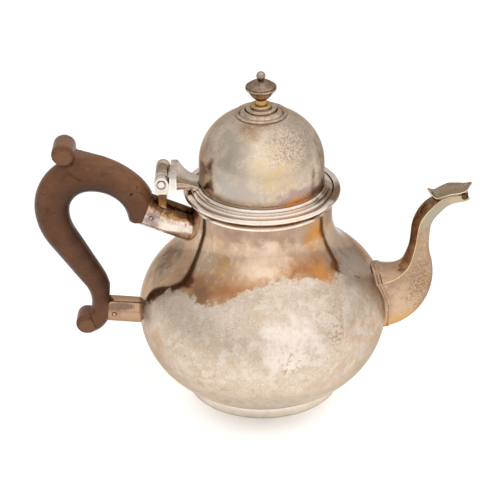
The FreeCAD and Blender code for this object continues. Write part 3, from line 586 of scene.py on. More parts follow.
def body_silver():
    """Body and foot: brown tarnish on shoulder and neck that ends in a wavy edge, pale worn metal below,
    and paler still near the foot as a painted reflection of the floor.
    """
    made = silver("tarnished_silver_body", "#d6c5b3", "#bba48b", 0.5, 0.5)
    across = made.add("ShaderNodeSeparateXYZ", {"Vector": made.place}, "X")
    sides = made.add("ShaderNodeMapRange", {"Value": across, "From Min": -TARNISH_SIDE * MM,
                                            "From Max": TARNISH_SIDE * MM})
    edge = made.add("ShaderNodeFloatCurve", {"Value": sides})
    curve = edge.node.mapping.curves[0]
    points = [((x / TARNISH_SIDE + 1) / 2, height / TARNISH_TOP) for x, height in TARNISH_EDGE]
    curve.points[0].location = points[0]
    curve.points[1].location = points[-1]
    for point in points[1:-1]:
        curve.points.new(*point)
    edge.node.mapping.update()
    height = made.add("ShaderNodeSeparateXYZ", {"Vector": made.place}, "Z")
    wander = made.cloud(4.0, 0.25, 0.75, -1.6 * MM, 1.6 * MM)
    height = made.add("ShaderNodeMath", {0: height, 1: wander}, operation="ADD")
    above = made.add("ShaderNodeMath", {0: edge, 1: -TARNISH_TOP * MM, 2: height}, operation="MULTIPLY_ADD")
    zone = made.add("ShaderNodeMapRange", {"Value": above, "From Min": 0.0, "From Max": 2 * MM},
                    interpolation_type="SMOOTHSTEP")
    band = made.add("ShaderNodeMapRange", {"Value": above, "From Min": 3 * MM, "From Max": 14 * MM,
                                           "To Min": 1.0, "To Max": 0.0}, interpolation_type="SMOOTHSTEP")
    made.lay("#c9b08f", made.cloud(8.0, 0.52, 0.66, 0.0, 0.45))
    made.lay("#e4d8cb", made.cloud(5.0, 0.52, 0.62, 0.0, 0.45))
    made.lay("#caa98a", zone, made.cloud(12.0, 0.3, 0.7, 0.7, 1.0))
    made.lay("#ead8c8", zone, made.cloud(2.4, 0.5, 0.68, 0.0, 0.6, (1.0, 1.0, 0.45), 0.7))
    front = made.add("ShaderNodeMapRange", {"Value": across, "From Min": -46 * MM, "From Max": -32 * MM})
    made.lay("#a8744a", zone, band, front, made.cloud(10.0, 0.25, 0.6, 0.45, 1.0))
    made.stain("#8f6c55", (-30, -36, 67), 11, 0.0, 4.0, zone)
    made.stain("#c8894e", (28, -27, 75), 9, 0.2)
    made.stain("#e6ccb2", (0, -34, 83), 15, 0.1, 5.0)
    made.stain("#c9954f", (-18, -31, 79), 6, 0.0, 3.0, made.cloud(2.0, 0.3, 0.6, 0.3, 0.9))
    made.lay("#a58a75", made.level(99, 12, 0.5, 4.0), made.cloud(7.0, 0.3, 0.7, 0.6, 1.0))
    made.stain("#9a7c74", (-12, -30, 96), 9, 0.0, 4.0, made.cloud(3.0, 0.4, 0.6, 0.0, 0.7))
    made.stain("#ca8836", (24, -22, 91), 10, 0.0, 3.0, made.cloud(3.0, 0.25, 0.6, 0.4, 1.0))
    made.stain("#937d6a", (-44, -3, 69), 18, 0.2, 5.0, made.cloud(4.0, 0.3, 0.6, 0.4, 1.0))
    made.stain("#b4a699", (40, -10, 71), 22, 0.3, 5.0, made.cloud(4.0, 0.3, 0.6, 0.4, 1.0))
    made.stain("#ebdfd3", (12, -55, 66), 17, 0.5, 5.0,
               made.cloud(1.6, 0.3, 0.6, 0.5, 1.0), across=(1, 1, 1.3))
    made.stain("#b0916f", (31, -45, 58), 8, 0.7, 3.0, made.cloud(1.5, 0.5, 0.62, 0.0, 0.7))
    made.stain("#dccdbe", (31, -45, 58), 7, 0.5, 3.0, made.cloud(2.0, 0.3, 0.6, 0.3, 1.0))
    made.stain("#d3c6ba", (44, -37, 42), 8, 0.6, 2.0)
    made.stain("#c5a688", (48, -34, 49), 18, 0.2, 5.0, made.cloud(4.0, 0.35, 0.65, 0.0, 0.8))
    made.stain("#c9ab8c", (-49, -33, 40), 9, 0.0, 4.0, made.cloud(3.0, 0.3, 0.6, 0.2, 1.0))
    # Painted reflection: the layers at heights 14, 0 and 10 make the low body and foot paler, standing in
    # for a brighter floor than the shaded one they reflect
    made.lay("#d8cab8", made.level(14, 15, 0.3, 4.0), made.cloud(9.0, 0.3, 0.7, 0.3, 1.0))
    made.lay("#efe3d4", made.level(0, 13, 0.5, 2.0), made.cloud(5.0, 0.3, 0.6, 0.6, 1.0))
    made.stain("#c0ab98", (46, -14, 65), 9, 0.3, 3.0)
    made.lay("#f0e6da", made.level(10, 10, 0.3, 2.0))
    for place in ((33, -47, 52), (13, -57, 43)):
        made.stain("#b5906e", place, 8, 0.3, 3.0, made.cloud(1.3, 0.5, 0.6, 0.0, 0.8))
    made.stain("#b98e66", (-20, -48, 26), 26, 0.2, 4.0, made.cloud(6.0, 0.55, 0.7, 0.0, 0.6))
    rubbed = made.near((-57, -8, 44), 12, 0.6, 2.0)
    bright = made.add("ShaderNodeMath", {0: zone, 1: rubbed}, operation="MAXIMUM")
    polish = made.add("ShaderNodeMapRange", {"Value": bright, "To Min": 0.36, "To Max": 0.12})
    return silver_done(made, polish)


def dome_silver():
    """Dome: grey-green and yellow films, an amber band low on the right and speckle high on the right."""
    made = silver("tarnished_silver_dome", "#dac8b4", "#ae947c", 0.45, 0.5)
    made.stain("#b4aa99", (-10, -22, 131), 12, 0.1, 6.0)
    made.stain("#ddcab0", (2, -27, 126), 14, 0.1, 6.0)
    made.stain("#d9bb8b", (7, -26, 123), 13, 0.0, 5.0, made.cloud(3.0, 0.3, 0.6, 0.3, 1.0))
    made.stain("#bcafa3", (-10, -27, 113), 13, 0.1, 5.0)
    made.stain("#b3ada3", (-17, -23, 117), 9, 0.1, 4.0)
    made.stain("#ae9073", (-5, -14, 139), 10, 0.0, 4.0, made.cloud(3.0, 0.3, 0.6, 0.3, 1.0))
    made.stain("#a38d7a", (14, -17, 134), 18, 0.2, 4.0, made.cloud(0.9, 0.42, 0.6, rough=0.75))
    made.stain("#efe2d2", (14, -20, 128), 16, 0.2, 4.0, made.cloud(0.7, 0.55, 0.65, rough=0.75))
    made.lay("#b7a48f", made.level(106, 7, 0.3, 3.0), made.cloud(6.0, 0.3, 0.7, 0.4, 1.0))
    made.stain("#b0968d", (17, -23, 239), 17, 0.5, 3.0, across=(1, 1, 2.2))
    made.stain("#d6975f", (17, -23, 231), 15, 0.4, 3.0, across=(1, 1, 2.2))
    made.stain("#a68d77", (-27, -8, 118), 17, 0.2)
    made.stain("#94806f", (31, -1, 116), 20, 0.4)
    return silver_done(made, made.worn(0.16, 0.3))


def spout_silver(name, colour):
    """What the finishes of the spout share: amber root and mottled brown elbow."""
    made = silver(name, colour, "#947352", 0.45, 0.35)
    made.stain("#cfa66e", (68, 0, 34), 19, 0.3)
    made.stain("#cbae93", (67, -8, 48), 11, 0.2, 3.0)
    made.stain("#8a6549", (79, -8, 52), 18, 0.4, 4.0, made.cloud(1.0, 0.42, 0.64, 0.0, 0.9, rough=0.75))
    return made


def neck_silver():
    """Sides of the spout, and its collar: grey-green neck, yellow-green head and a browner tip."""
    made = spout_silver("tarnished_silver_spout", "#bda084")
    made.stain("#aaa391", (84, -6, 88), 16, 0.3, 3.0)
    made.stain("#bcac8e", (92, -4, 98), 8, 0.4, 1.0)
    made.stain("#8f7b6b", (96, -4, 96.5), 2.6, 0.3, 0.8)
    return silver_done(made, made.worn(0.16, 0.28))


def spout_back_silver():
    """Upper facets of the spout: dark brown film that thins out towards the root."""
    made = spout_silver("dark_tarnished_silver", "#c4a184")
    made.stain("#77563a", (80, 0, 92), 27, 0.55, 3.0, made.cloud(3.0, 0.3, 0.65, 0.6, 1.0))
    return silver_done(made, made.worn(0.16, 0.28))


def ridge_silver_and_highlight():
    """Ridges of the spout: rubbed bright by polishing and painted brighter still as a highlight, with an
    amber tone.
    """
    made = silver("rubbed_silver_ridges_and_painted_highlight", "#ecd0a4", "#cda064", 0.7, 0.2)
    return silver_done(made, 0.14)


def hood_silver():
    """Hood: speckled brown film, yellow-green towards the back."""
    made = silver("tarnished_silver_hood", "#b69e8b", "#8a735f", 0.6, 0.5)
    made.stain("#a99c72", (84, -3, 103), 9, 0.2, 2.0)
    return silver_done(made, made.worn(0.16, 0.28))


def lip_silver_and_highlight():
    """Lip of the hood: rubbed bright and painted brighter still as a highlight along its edge, with a
    little pinkish film.
    """
    made = silver("rubbed_silver_lip_and_painted_highlight", "#ecdccf", "#c9a894", 0.35, 0.25)
    return silver_done(made, made.worn(0.12, 0.22))


def finial_silver():
    """Knop and its plate: bright steps with dark seams of painted shade and dirt, mottled brown on top,
    yellow below the knop.
    """
    made = silver("tarnished_silver_finial", "#d9c6b3", "#9c806a", 0.5, 0.3)
    made.lay("#b39a84", made.level(142, 4.0, 0.6, 1.0), made.cloud(2.5, 0.3, 0.65, 0.0, 0.9))
    made.lay("#a08a78", made.level(157, 5.5, 0.5, 1.0))
    made.lay("#77614f", made.level(156, 3.0, 0.5, 1.0), made.cloud(1.4, 0.42, 0.6, 0.0, 0.7))
    made.lay("#bd9c69", made.level(147, 2.4, 0.4, 0.5))
    # 0.9 makes the painted shade and dirt in the finial's seams stronger
    return silver_done(made, made.worn(0.12, 0.22), 0.9)


def moulding_silver():
    """Rim, flange, bezel and hidden pieces: rubbed metal under a brown film, darker on the spout's side."""
    made = silver("tarnished_silver_mouldings", "#f4e8dc", "#d6c0ad", 0.45, 0.3)
    made.stain("#8f7562", (34, -8, 103), 17, 0.3)
    return silver_done(made, made.worn(0.12, 0.22))


def socket_silver():
    """Sockets and pins: pale, with bands by height along the upper socket's slope: orange-brown above its
    middle, dark brown along its top under the hinge, and orange from its lower edge down.
    """
    made = silver("tarnished_silver_sockets", "#f2e5d9", "#c49c76", 0.45, 0.3)
    slope = math.tan(math.radians(UPPER_TILT))
    lift = made.add("ShaderNodeVectorMath", {0: made.place, 1: (slope, 0, 1)}, "Value",
                    operation="DOT_PRODUCT")
    wander = made.cloud(2.5, 0.25, 0.75, -1.5 * MM, 1.5 * MM)
    lift = made.add("ShaderNodeMath", {0: lift, 1: wander}, operation="ADD")
    axis = UPPER_JOINT.imag + UPPER_JOINT.real * slope
    # Bands by height above the upper socket's axis: darker and browner towards its top, orange below its
    # lower edge
    for colour, low, high in (("#b5875f", 1.8, 3.8), ("#624832", 4.0, 5.6), ("#b98f66", -6.0, -7.5)):
        mask = made.add("ShaderNodeMapRange", {"Value": lift, "From Min": (axis + low) * MM,
                                               "From Max": (axis + high) * MM},
                        interpolation_type="SMOOTHSTEP")
        made.lay(colour, mask)
    made.stain("#a58d88", (-51, -7, 91), 6, 0.3, 2.0)
    made.stain("#b8977a", (-67, -3, 41), 14, 0.8, 1.0)
    made.stain("#80695a", (-23.8, -5, 65), 3.0, 0.6, 0.4, across=(0.35, 1, 1.5))
    made.stain("#9c755e", (-71, -5, 42), 8, 0.2, 3.0, made.cloud(2.2, 0.4, 0.65, 0.0, 0.7))
    return silver_done(made, made.worn(0.12, 0.22))


def hinge_silver():
    """Hinge: greyish worn knuckles and leaf, brown where the post meets the socket."""
    made = silver("tarnished_silver_hinge", "#f2e7dc", "#bca690", 0.45, 0.35)
    made.stain("#8a6037", (-46, -6, 99), 7, 0.3, 2.0)
    made.stain("#5f4631", (-46, -2, 103), 6, 0.2, 2.0)
    made.stain("#b19a84", (-46, 2, 113), 8, 0.3, 2.0)
    return silver_done(made, made.worn(0.14, 0.26))


def hardwood():
    """Handle: brown hardwood rubbed to a satin, with fine grain and dark pores, painted shade on its inner
    side that is partly a darker patina, painted light on the scroll ends and painted shade with dirt in the
    creases.
    """
    made = Finish("satin_brown_hardwood", "#6f472e")
    made.lay("#85593a", made.cloud(18.0, 0.4, 0.7, 0.0, 0.7))
    made.lay("#472c1c", made.cloud(1.6, 0.48, 0.72, 0.0, 0.6, (0.2, 1.0, 0.3), 0.65))
    made.lay("#9b704c", made.cloud(1.2, 0.6, 0.72, 0.0, 0.5, (0.3, 1.0, 0.6), 0.65))
    # Painted shade on the inner side of the arch and down the inner edge of the shank, partly a darker
    # patina there
    made.stain("#472b1b", (-79, 0, 93), 19, 0.5, 0.5, across=(1, 0, 1))
    for x, z in ((-86, 80), (-82, 72), (-78, 65), (-74, 57), (-72, 49)):
        made.stain("#472b1b", (x, 0, z), 8, 0.1, 0.5, across=(1, 0, 1))
    # Painted light: paler patches on the end faces of both scrolls, standing in for light falling on them
    for place in ((-91, -7, 122), (-91, 7, 122), (-84, -6, 32), (-84, 6, 32)):
        made.stain("#8a6146", place, 5.5, 0.6, 0.8)
    for speck in ((-60, -7, 104), (-57, -6, 107)):
        made.stain("#2a1a12", speck, 1.2, 0.3, 0.4)
    # Painted shade in the creases, carved lines and where the wood meets its sockets, with the dirt that
    # stays there
    made.lay("#2a1a12", made.corners(1.5, 0.9))
    rubbed = made.cloud(8.0, 0.3, 0.7, 0.3, 0.45)
    return made.done(rubbed, made.cloud(0.7, 0.2, 0.8), 0.015, Specular_IOR_Level=0.3)


BODY_SILVER = body_silver()
DOME_SILVER = dome_silver()
SPOUT_SILVER = neck_silver()
SPOUT_BACK_SILVER = spout_back_silver()
RIDGE_SILVER_AND_HIGHLIGHT = ridge_silver_and_highlight()
HOOD_SILVER = hood_silver()
LIP_SILVER_AND_HIGHLIGHT = lip_silver_and_highlight()
SOCKET_SILVER = socket_silver()
HINGE_SILVER = hinge_silver()
MOULDING_SILVER = moulding_silver()
FINIAL_SILVER = finial_silver()
HARDWOOD = hardwood()


# Body, with the strainer holes cut through where the spout joins

def turning_point(inset):
    """Where the shoulder's curve turns into the neck's."""
    share = (SHOULDER_CURVE - inset) / CURVE_SPAN
    return SHOULDER_CENTRE + CENTRE_OFFSET * share, BELLY_HEIGHT + SWEEP_RISE * share


def bowl_height(radius, inset=0.0):
    """Height of the bowl's underside at a radius."""
    return BELLY_HEIGHT - math.sqrt((BOWL_CURVE - inset) ** 2 - (radius - BOWL_CENTRE) ** 2)


BODY_SIDE = [
    (BASE_OPENING, BASE_HEIGHT),
    (BELLY_RADIUS, BELLY_HEIGHT, BOWL_CURVE),
    (*turning_point(0.0), SHOULDER_CURVE),
    (NECK_RADIUS, NECK_START, -NECK_CURVE),
    (NECK_RADIUS, SEAT),
]
BODY_INSIDE = [
    (NECK_RADIUS - BODY_WALL, SEAT),
    (NECK_RADIUS - BODY_WALL, NECK_START),
    (*turning_point(BODY_WALL), NECK_CURVE + BODY_WALL),
    (BELLY_RADIUS - BODY_WALL, BELLY_HEIGHT, -(SHOULDER_CURVE - BODY_WALL)),
    (BASE_OPENING, bowl_height(BASE_OPENING, BODY_WALL), -(BOWL_CURVE - BODY_WALL)),
]


def body_block():
    """The body as if it were solid, to fit the tubes to it."""
    return turned([(0.0, BASE_HEIGHT)] + BODY_SIDE + [(0.0, SEAT)], 0.0)


def strainer_punch():
    """Rods for the strainer: one in the middle and six round it."""
    punch = bmesh.new()
    sideways = Matrix.Rotation(math.radians(90), 4, "Y")
    places = [0j] + [cmath.rect(STRAINER_PITCH, math.radians(60 * step)) for step in range(6)]
    for place in places:
        middle = (BELLY_RADIUS, place.real, SPOUT_ROOT.imag + place.imag)
        rod(punch, STRAINER_HOLE, PUNCH_LENGTH, middle, sideways, 0.0)
    return punch


body = cut_by(turned(BODY_SIDE + BODY_INSIDE, 0.0), strainer_punch())
piece("body", soften(body), "pot", BODY_SILVER, "body_shell")

piece("foot", turned([
    (FOOT_INNER, 0.0),
    (FOOT_RADIUS, 0.0),
    (FOOT_RADIUS, bowl_height(FOOT_RADIUS)),
    (FOOT_INNER, bowl_height(FOOT_INNER), -BOWL_CURVE),
]), "pot", BODY_SILVER, "foot_ring")

piece("rim", turned([
    (NECK_RADIUS, SEAT - BEAD_RISE - RIM_COVE_HEIGHT),
    (RIM_RADIUS, SEAT - BEAD_RISE, -RIM_COVE_CURVE),
    (RIM_RADIUS, SEAT + BEAD_RISE, BEAD_CURVE),
    (LEDGE_RADIUS, SEAT + BEAD_RISE),
    (LEDGE_RADIUS, SEAT),
    (NECK_RADIUS, SEAT),
]), "pot", MOULDING_SILVER, "rim_moulding")

# Lid

piece("lid_flange_turned", turned([
    (DOME_RADIUS, SEAT),
    (LID_RADIUS, SEAT),
    (LID_RADIUS, SEAT + LID_EDGE_HEIGHT / 2),
    (STEP_RADIUS, SEAT + LID_EDGE_HEIGHT, LID_RADIUS - STEP_RADIUS),
    (STEP_RADIUS, STEP_TOP),
    (SHOULDER_RADIUS, STEP_TOP),
    (DOME_RADIUS, SHOULDER_TOP, SHOULDER_TOP - STEP_TOP),
], 0.12), "lid", MOULDING_SILVER, "lid_flange")

piece("lid_bezel_turned", turned([
    (BEZEL_INNER, SEAT - BEZEL_DEPTH),
    (BEZEL_RADIUS, SEAT - BEZEL_DEPTH),
    (BEZEL_RADIUS, SEAT),
    (BEZEL_INNER, SEAT),
]), "lid", MOULDING_SILVER, "lid_bezel")

piece("lid_dome_turned", turned([
    (DOME_RADIUS, SEAT),
    (DOME_RADIUS, DOME_SPRING),
    (CROWN_FLAT, DOME_TOP, DOME_CURVE),
    (STUD_HOLE, DOME_TOP),
    (STUD_HOLE, DOME_TOP - DOME_WALL),
    (CROWN_FLAT, DOME_TOP - DOME_WALL),
    (DOME_RADIUS - DOME_WALL, DOME_SPRING, -(DOME_CURVE - DOME_WALL)),
    (DOME_RADIUS - DOME_WALL, SEAT),
]), "lid", DOME_SILVER, "lid_dome")

# Finial

PLATE_EDGE_HEIGHT = DOME_SPRING + math.sqrt(DOME_CURVE ** 2 - (PLATE_RADIUS - CROWN_FLAT) ** 2)
piece("finial_plate_turned", turned([
    (STUD_HOLE, DOME_TOP),
    (CROWN_FLAT, DOME_TOP),
    (PLATE_RADIUS, PLATE_EDGE_HEIGHT, -DOME_CURVE),
    (PLATE_RADIUS, PLATE_EDGE_HEIGHT + PLATE_EDGE),
    (PLATE_BEAD, PLATE_EDGE_HEIGHT + PLATE_EDGE + PLATE_BEAD_RISE, PLATE_BEAD_CURVE),
    (PLATE_BEAD - PLATE_SEAM, PLATE_EDGE_HEIGHT + PLATE_EDGE),
    (PLATE_MIDDLE_RADIUS + PLATE_SEAM * 2, DOME_TOP + PLATE_EDGE + PLATE_SEAM, PLATE_SWELL),
    (PLATE_MIDDLE_RADIUS, DOME_TOP + PLATE_EDGE - PLATE_SEAM),
    (PLATE_MIDDLE_RADIUS, PLATE_MIDDLE - PLATE_ROUND),
    (PLATE_MIDDLE_RADIUS - PLATE_ROUND, PLATE_MIDDLE, PLATE_ROUND),
    (PLATE_TOP_RADIUS, PLATE_MIDDLE - PLATE_SEAM),
    (PLATE_TOP_RADIUS, PLATE_TOP - PLATE_ROUND),
    (PLATE_TOP_RADIUS - PLATE_ROUND, PLATE_TOP, PLATE_ROUND),
    (STUD_HOLE, PLATE_TOP),
], 0.05), "lid", FINIAL_SILVER, "finial_plate")

piece("finial_turned", turned([
    (0.0, STUD_TIP),
    (STUD_RADIUS, STUD_TIP),
    (STUD_RADIUS, PLATE_TOP),
    (STEM_FOOT, PLATE_TOP),
    (STEM_RADIUS, STEM_TOP, -STEM_CURVE),
    (KNOP_RADIUS - KNOP_BAND_INSET - KNOP_GROOVE, KNOP_WIDEST - KNOP_BAND - KNOP_GROOVE, KNOP_UNDER_CURVE),
    (KNOP_RADIUS - KNOP_BAND_INSET, KNOP_WIDEST - KNOP_BAND),
    (KNOP_RADIUS, KNOP_WIDEST, KNOP_BAND_CURVE),
    (KNOP_RADIUS - KNOP_GROOVE, KNOP_WIDEST),
    (KNOP_RADIUS - KNOP_GROOVE, KNOP_WIDEST + KNOP_GROOVE),
    (KNOP_RADIUS, KNOP_WIDEST + KNOP_GROOVE),
    (COLLARETTE_RADIUS, KNOP_TOP - KNOP_GROOVE, KNOP_OVER_CURVE),
    (BALL_NECK, KNOP_TOP),
    (BALL_RADIUS, BALL_CENTRE, BALL_RADIUS),
    (0.0, BALL_CENTRE + BALL_RADIUS, BALL_RADIUS),
], 0.1), "lid", FINIAL_SILVER, "finial")

# Spout: a skin with one crisp ridge on each side that narrows from the belly to a level head

spout_path = walk(SPOUT_ROOT, SPOUT_HEADING, SPOUT_MOVES)
MOUTH, _, SPOUT_RUN = spout_path[-1]


def eased_corners(corners, crisp):
    """Corners cut back twice by a quarter of their sides, apart from the crisp ones."""
    for _ in range(2):
        points = []
        still_crisp = []
        for index, corner in enumerate(corners):
            if index in crisp:
                still_crisp.append(len(points))
                points.append(corner)
            else:
                for beside in (corners[index - 1], corners[(index + 1) % len(corners)]):
                    points.append(mixed(corner, beside, 0.25))
        corners = points
        crisp = still_crisp
    return corners


def spout_section(station, growth=0.0):
    """The spout's section; its side ridge comes down as the spout rises, and its tip is rounded."""
    run = station[2]
    share = eased((run - ROOT_LENGTH) / FLARE_LENGTH)
    head = eased((run - SPOUT_RUN + TAPER_BACK) / TAPER_LENGTH)
    tall = mixed(mixed(SPOUT_BASE[0], SPOUT_NECK[0], share), MOUTH_TALL, head)
    wide = mixed(SPOUT_BASE[1], SPOUT_NECK[1], share)
    ridge = mixed(ROOT_RIDGE, NECK_RIDGE, eased((run - RIDGE_START) / RIDGE_LENGTH))
    ridge = mixed(ridge, HEAD_RIDGE, head)
    if growth >= 0:
        nose = max(run - SPOUT_RUN + TIP_LENGTH, 0.0) / TIP_LENGTH
        tall *= math.sqrt(1 - (TIP_ROUND * nose) ** 2)
    back, cheek, keel = SPOUT_CORNERS
    side = [back, ridge + 1j, cheek, keel]
    both = side + [corner.conjugate() for corner in reversed(side)]
    return section(station, eased_corners(both, (1, 6)), tall / 2 + growth, wide / 2 + growth)


def spout_solid(growth, more_moves):
    """The spout grown all round, or its bore where the growth is negative."""
    bm = bmesh.new()
    path = walk(SPOUT_ROOT, SPOUT_HEADING, SPOUT_MOVES + more_moves)
    lofted(bm, [spout_section(station, growth) for station in path], True)
    return bm


spout = spout_solid(0.0, [])
ridges = [edge for edge in spout.edges if edge.calc_face_angle() > RIDGE_ANGLE
          and all(len(face.verts) == 4 for face in edge.link_faces)]
bevelled(spout, ridges, RIDGE_BEVEL, 2)
spout = cut_by(spout, spout_solid(-SPOUT_WALL, [(SPOUT_WALL * 2,)]))
notch = bmesh.new()
cross_rod(notch, NOTCH_RADIUS, SPOUT_BASE[1], MOUTH + NOTCH_OFFSET)
spout = cut_by(cut_by(spout, notch), body_block())
for face in spout.faces:
    middle = complex(face.calc_center_median().x, face.calc_center_median().z) / MM
    heading = min(spout_path, key=lambda station: abs(station[0] - middle))[1]
    up = cmath.rect(1.0, math.radians(heading + 90))
    lean = face.normal.x * up.real + face.normal.z * up.imag
    # Upward facets take the dark film, and the ridge bevels take the brighter finish that carries a painted
    # highlight
    face.material_index = 1 if lean > BACK_LEAN else 2 if lean > RIDGE_LEAN else 0
made = piece("spout", soften(spout), "pot", SPOUT_SILVER, "spout_left_half", "spout_right_half")
made.data.materials.append(SPOUT_BACK_SILVER)
made.data.materials.append(RIDGE_SILVER_AND_HIGHLIGHT)

# Hood: a leaf-shaped cover over the head, dished on top, with a fine lip and an upturned tip

HOOD_TIP = MOUTH.real + HOOD_OVERHANG
HOOD_RIM = MOUTH.imag + MOUTH_TALL / 2 + HOOD_RISE


def hood_section(along):
    """The hood's section at a share of its length: dished top, lips and keel."""
    half = HOOD_HALF_WIDTH * flowing(HOOD, along, 1, HOOD_EASE)
    edge = HOOD_RIM + TIP_RISE * flowing(HOOD, along, 2, HOOD_EASE)
    fullness = half / HOOD_HALF_WIDTH
    x = HOOD_TIP - HOOD_LENGTH * (1 - along)
    shares = [step / 5 for step in range(-5, 6)]
    top = [(half * share, edge - HOOD_DISH * fullness * (1 - share * share)) for share in shares]
    lip = [(half + HOOD_LIP, edge - HOOD_EDGE / 2)]
    under = [(half * share, edge - HOOD_EDGE - HOOD_KEEL * fullness * (1 - abs(share)) ** KEEL_FULLNESS)
             for share in reversed(shares)]
    other_lip = [(-half - HOOD_LIP, edge - HOOD_EDGE / 2)]
    return [Vector((x, y, z)) * MM for y, z in top + lip + under + other_lip]


hood = bmesh.new()
lofted(hood, [hood_section(step / HOOD_STEPS) for step in range(HOOD_STEPS + 1)], True)
for face in hood.faces:
    # Faces that lean sideways along the lip take the brighter finish with the painted highlight
    face.material_index = int(LIP_LEAN[0] < abs(face.normal.y) < LIP_LEAN[1])
made = piece("spout_hood", soften(hood), "pot", HOOD_SILVER, "spout_left_half", "spout_right_half")
made.data.materials.append(LIP_SILVER_AND_HIGHLIGHT)


# Collar: a band with two fine ribs round the root of the spout

def body_radius(height):
    """Outer radius of the body at a height below the turn of the neck."""
    rise = height - BELLY_HEIGHT
    curve, centre = (BOWL_CURVE, BOWL_CENTRE) if rise < 0 else (SHOULDER_CURVE, SHOULDER_CENTRE)
    return centre + math.sqrt(max(curve ** 2 - rise ** 2, 0.0))


def stand_off(place):
    """How far a place is outside the body."""
    return math.hypot(place.x, place.y) / MM - body_radius(place.z / MM)


def collar_ring(depth, growth):
    """Places round the grown spout at this distance from the body."""
    sections = [spout_section(station, growth) for station in spout_path]
    ring = []
    for line in zip(*sections):
        reach = next(index for index, place in enumerate(line) if stand_off(place) > depth)
        low = stand_off(line[reach - 1])
        share = (depth - low) / (stand_off(line[reach]) - low)
        ring.append(line[reach - 1].lerp(line[reach], share))
    return ring


COLLAR_RIBS = [(-0.5, 0.0), (-0.5, 1.0), (0.9, 1.0), (1.2, 0.4), (1.5, 0.4), (1.8, 1.0), (2.5, 1.0),
               (COLLAR_DEPTH, 0.6), (COLLAR_DEPTH, 0.0)]
collar = bmesh.new()
lofted(collar, [collar_ring(depth, COLLAR_PROUD * share) for depth, share in COLLAR_RIBS], False)
piece("collar", soften(collar), "pot", SPOUT_SILVER, "spout_collar")


# Sockets: tubes fitted to the body and drilled across, each with its pin in the hole

def into_body(tilt):
    """Heading from a joint along its socket, as a complex number."""
    return cmath.rect(1.0, math.radians(-tilt))


def along_socket(joint, tilt, reach):
    """Puts what stands on the pot's axis onto a socket's axis, at a reach from its joint."""
    place = joint + into_body(tilt) * reach
    turn = Matrix.Rotation(math.radians(90 + tilt), 4, "Y")
    return Matrix.Translation(Vector((place.real, 0, place.imag)) * MM) @ turn


def socket(name, joint, radius, tilt, pin_reach):
    """A socket tube and its cross pin."""
    tube = turned([(radius - SOCKET_WALL, 0.0), (radius, 0.0), (radius, SOCKET_LENGTH),
                   (radius - SOCKET_WALL, SOCKET_LENGTH)], 0.15)
    bmesh.ops.transform(tube, matrix=along_socket(joint, tilt, 0.0), verts=tube.verts)
    place = joint + into_body(tilt) * pin_reach
    tool = body_block()
    cross_rod(tool, PIN_RADIUS + PIN_GAP, radius * 3, place)
    piece(name + "_socket_tube", soften(cut_by(tube, tool)), "pot", SOCKET_SILVER, name + "_socket")
    pin = bmesh.new()
    cross_rod(pin, PIN_RADIUS, (radius + PIN_PROUD) * 2, place, 0.25)
    piece(name + "_pin", soften(pin), "pot", SOCKET_SILVER, name + "_handle_pin")


socket("upper", UPPER_JOINT, UPPER_RADIUS, UPPER_TILT, UPPER_PIN)
socket("lower", LOWER_JOINT, LOWER_RADIUS, LOWER_TILT, LOWER_PIN)

# Hinge: bracket with sunk pin ends on the socket, leaf on the lid

sinks = bmesh.new()
for side in (-1, 1):
    end = (HINGE_AXIS.real, side * BARREL_LENGTH / 2, HINGE_AXIS.imag)
    rod(sinks, COUNTERSINK, COUNTERSINK_DEPTH * 2, end, ALONG_Y, 0.0)
bracket = cut_by(from_cad("hinge_bracket"), sinks)
FINE_BEVEL = {"width": 0.22 * MM, "segments": 2, "limit_method": "ANGLE", "angle_limit": SHARP}
bracket = modified(bracket, "BEVEL", **FINE_BEVEL)
piece("hinge_bracket_made", soften(bracket), "pot", HINGE_SILVER, "hinge_bracket")
leaf = from_cad("hinge_leaf")
far_side = (BARREL_LENGTH / 2 - 0.05) * MM
worn = [edge for edge in leaf.edges if all(vert.co.y > far_side for vert in edge.verts)
        and abs(edge.verts[0].co.z - edge.verts[1].co.z) > 1.0 * MM]
bevelled(leaf, worn, LEAF_CORNER, 5)
leaf = modified(leaf, "BEVEL", **FINE_BEVEL)
piece("hinge_leaf_made", soften(leaf), "lid", HINGE_SILVER, "hinge_leaf")
hinge_pin = bmesh.new()
cross_rod(hinge_pin, HINGE_PIN_RADIUS, BARREL_LENGTH + PIN_PROUD * 2, HINGE_AXIS, 0.3)
piece("hinge_pin_made", soften(hinge_pin), "pot", HINGE_SILVER, "hinge_pin")

# Handle: an oval bar bent round, joined to its two scrolls and cut square at the sockets

handle_path = fitted(walk(0j, START_HEADING, HANDLE_MOVES),
                     UPPER_JOINT + ROOT_OFFSET, LOWER_JOINT + TAIL_OFFSET)
HANDLE_RUN = handle_path[-1][2]
ARCH_TOP = next(station for station in handle_path if station[1] > 179.9)


def fuller(share):
    """A share pushed outwards, with its sign."""
    return math.copysign(abs(share) ** OVAL_FULLNESS, share)


def oval(count=32):
    """Shares of a full oval, a little squarer than an ellipse."""
    points = [cmath.exp(2j * math.pi * index / count) for index in range(count)]
    return [complex(fuller(point.real), fuller(point.imag)) for point in points]


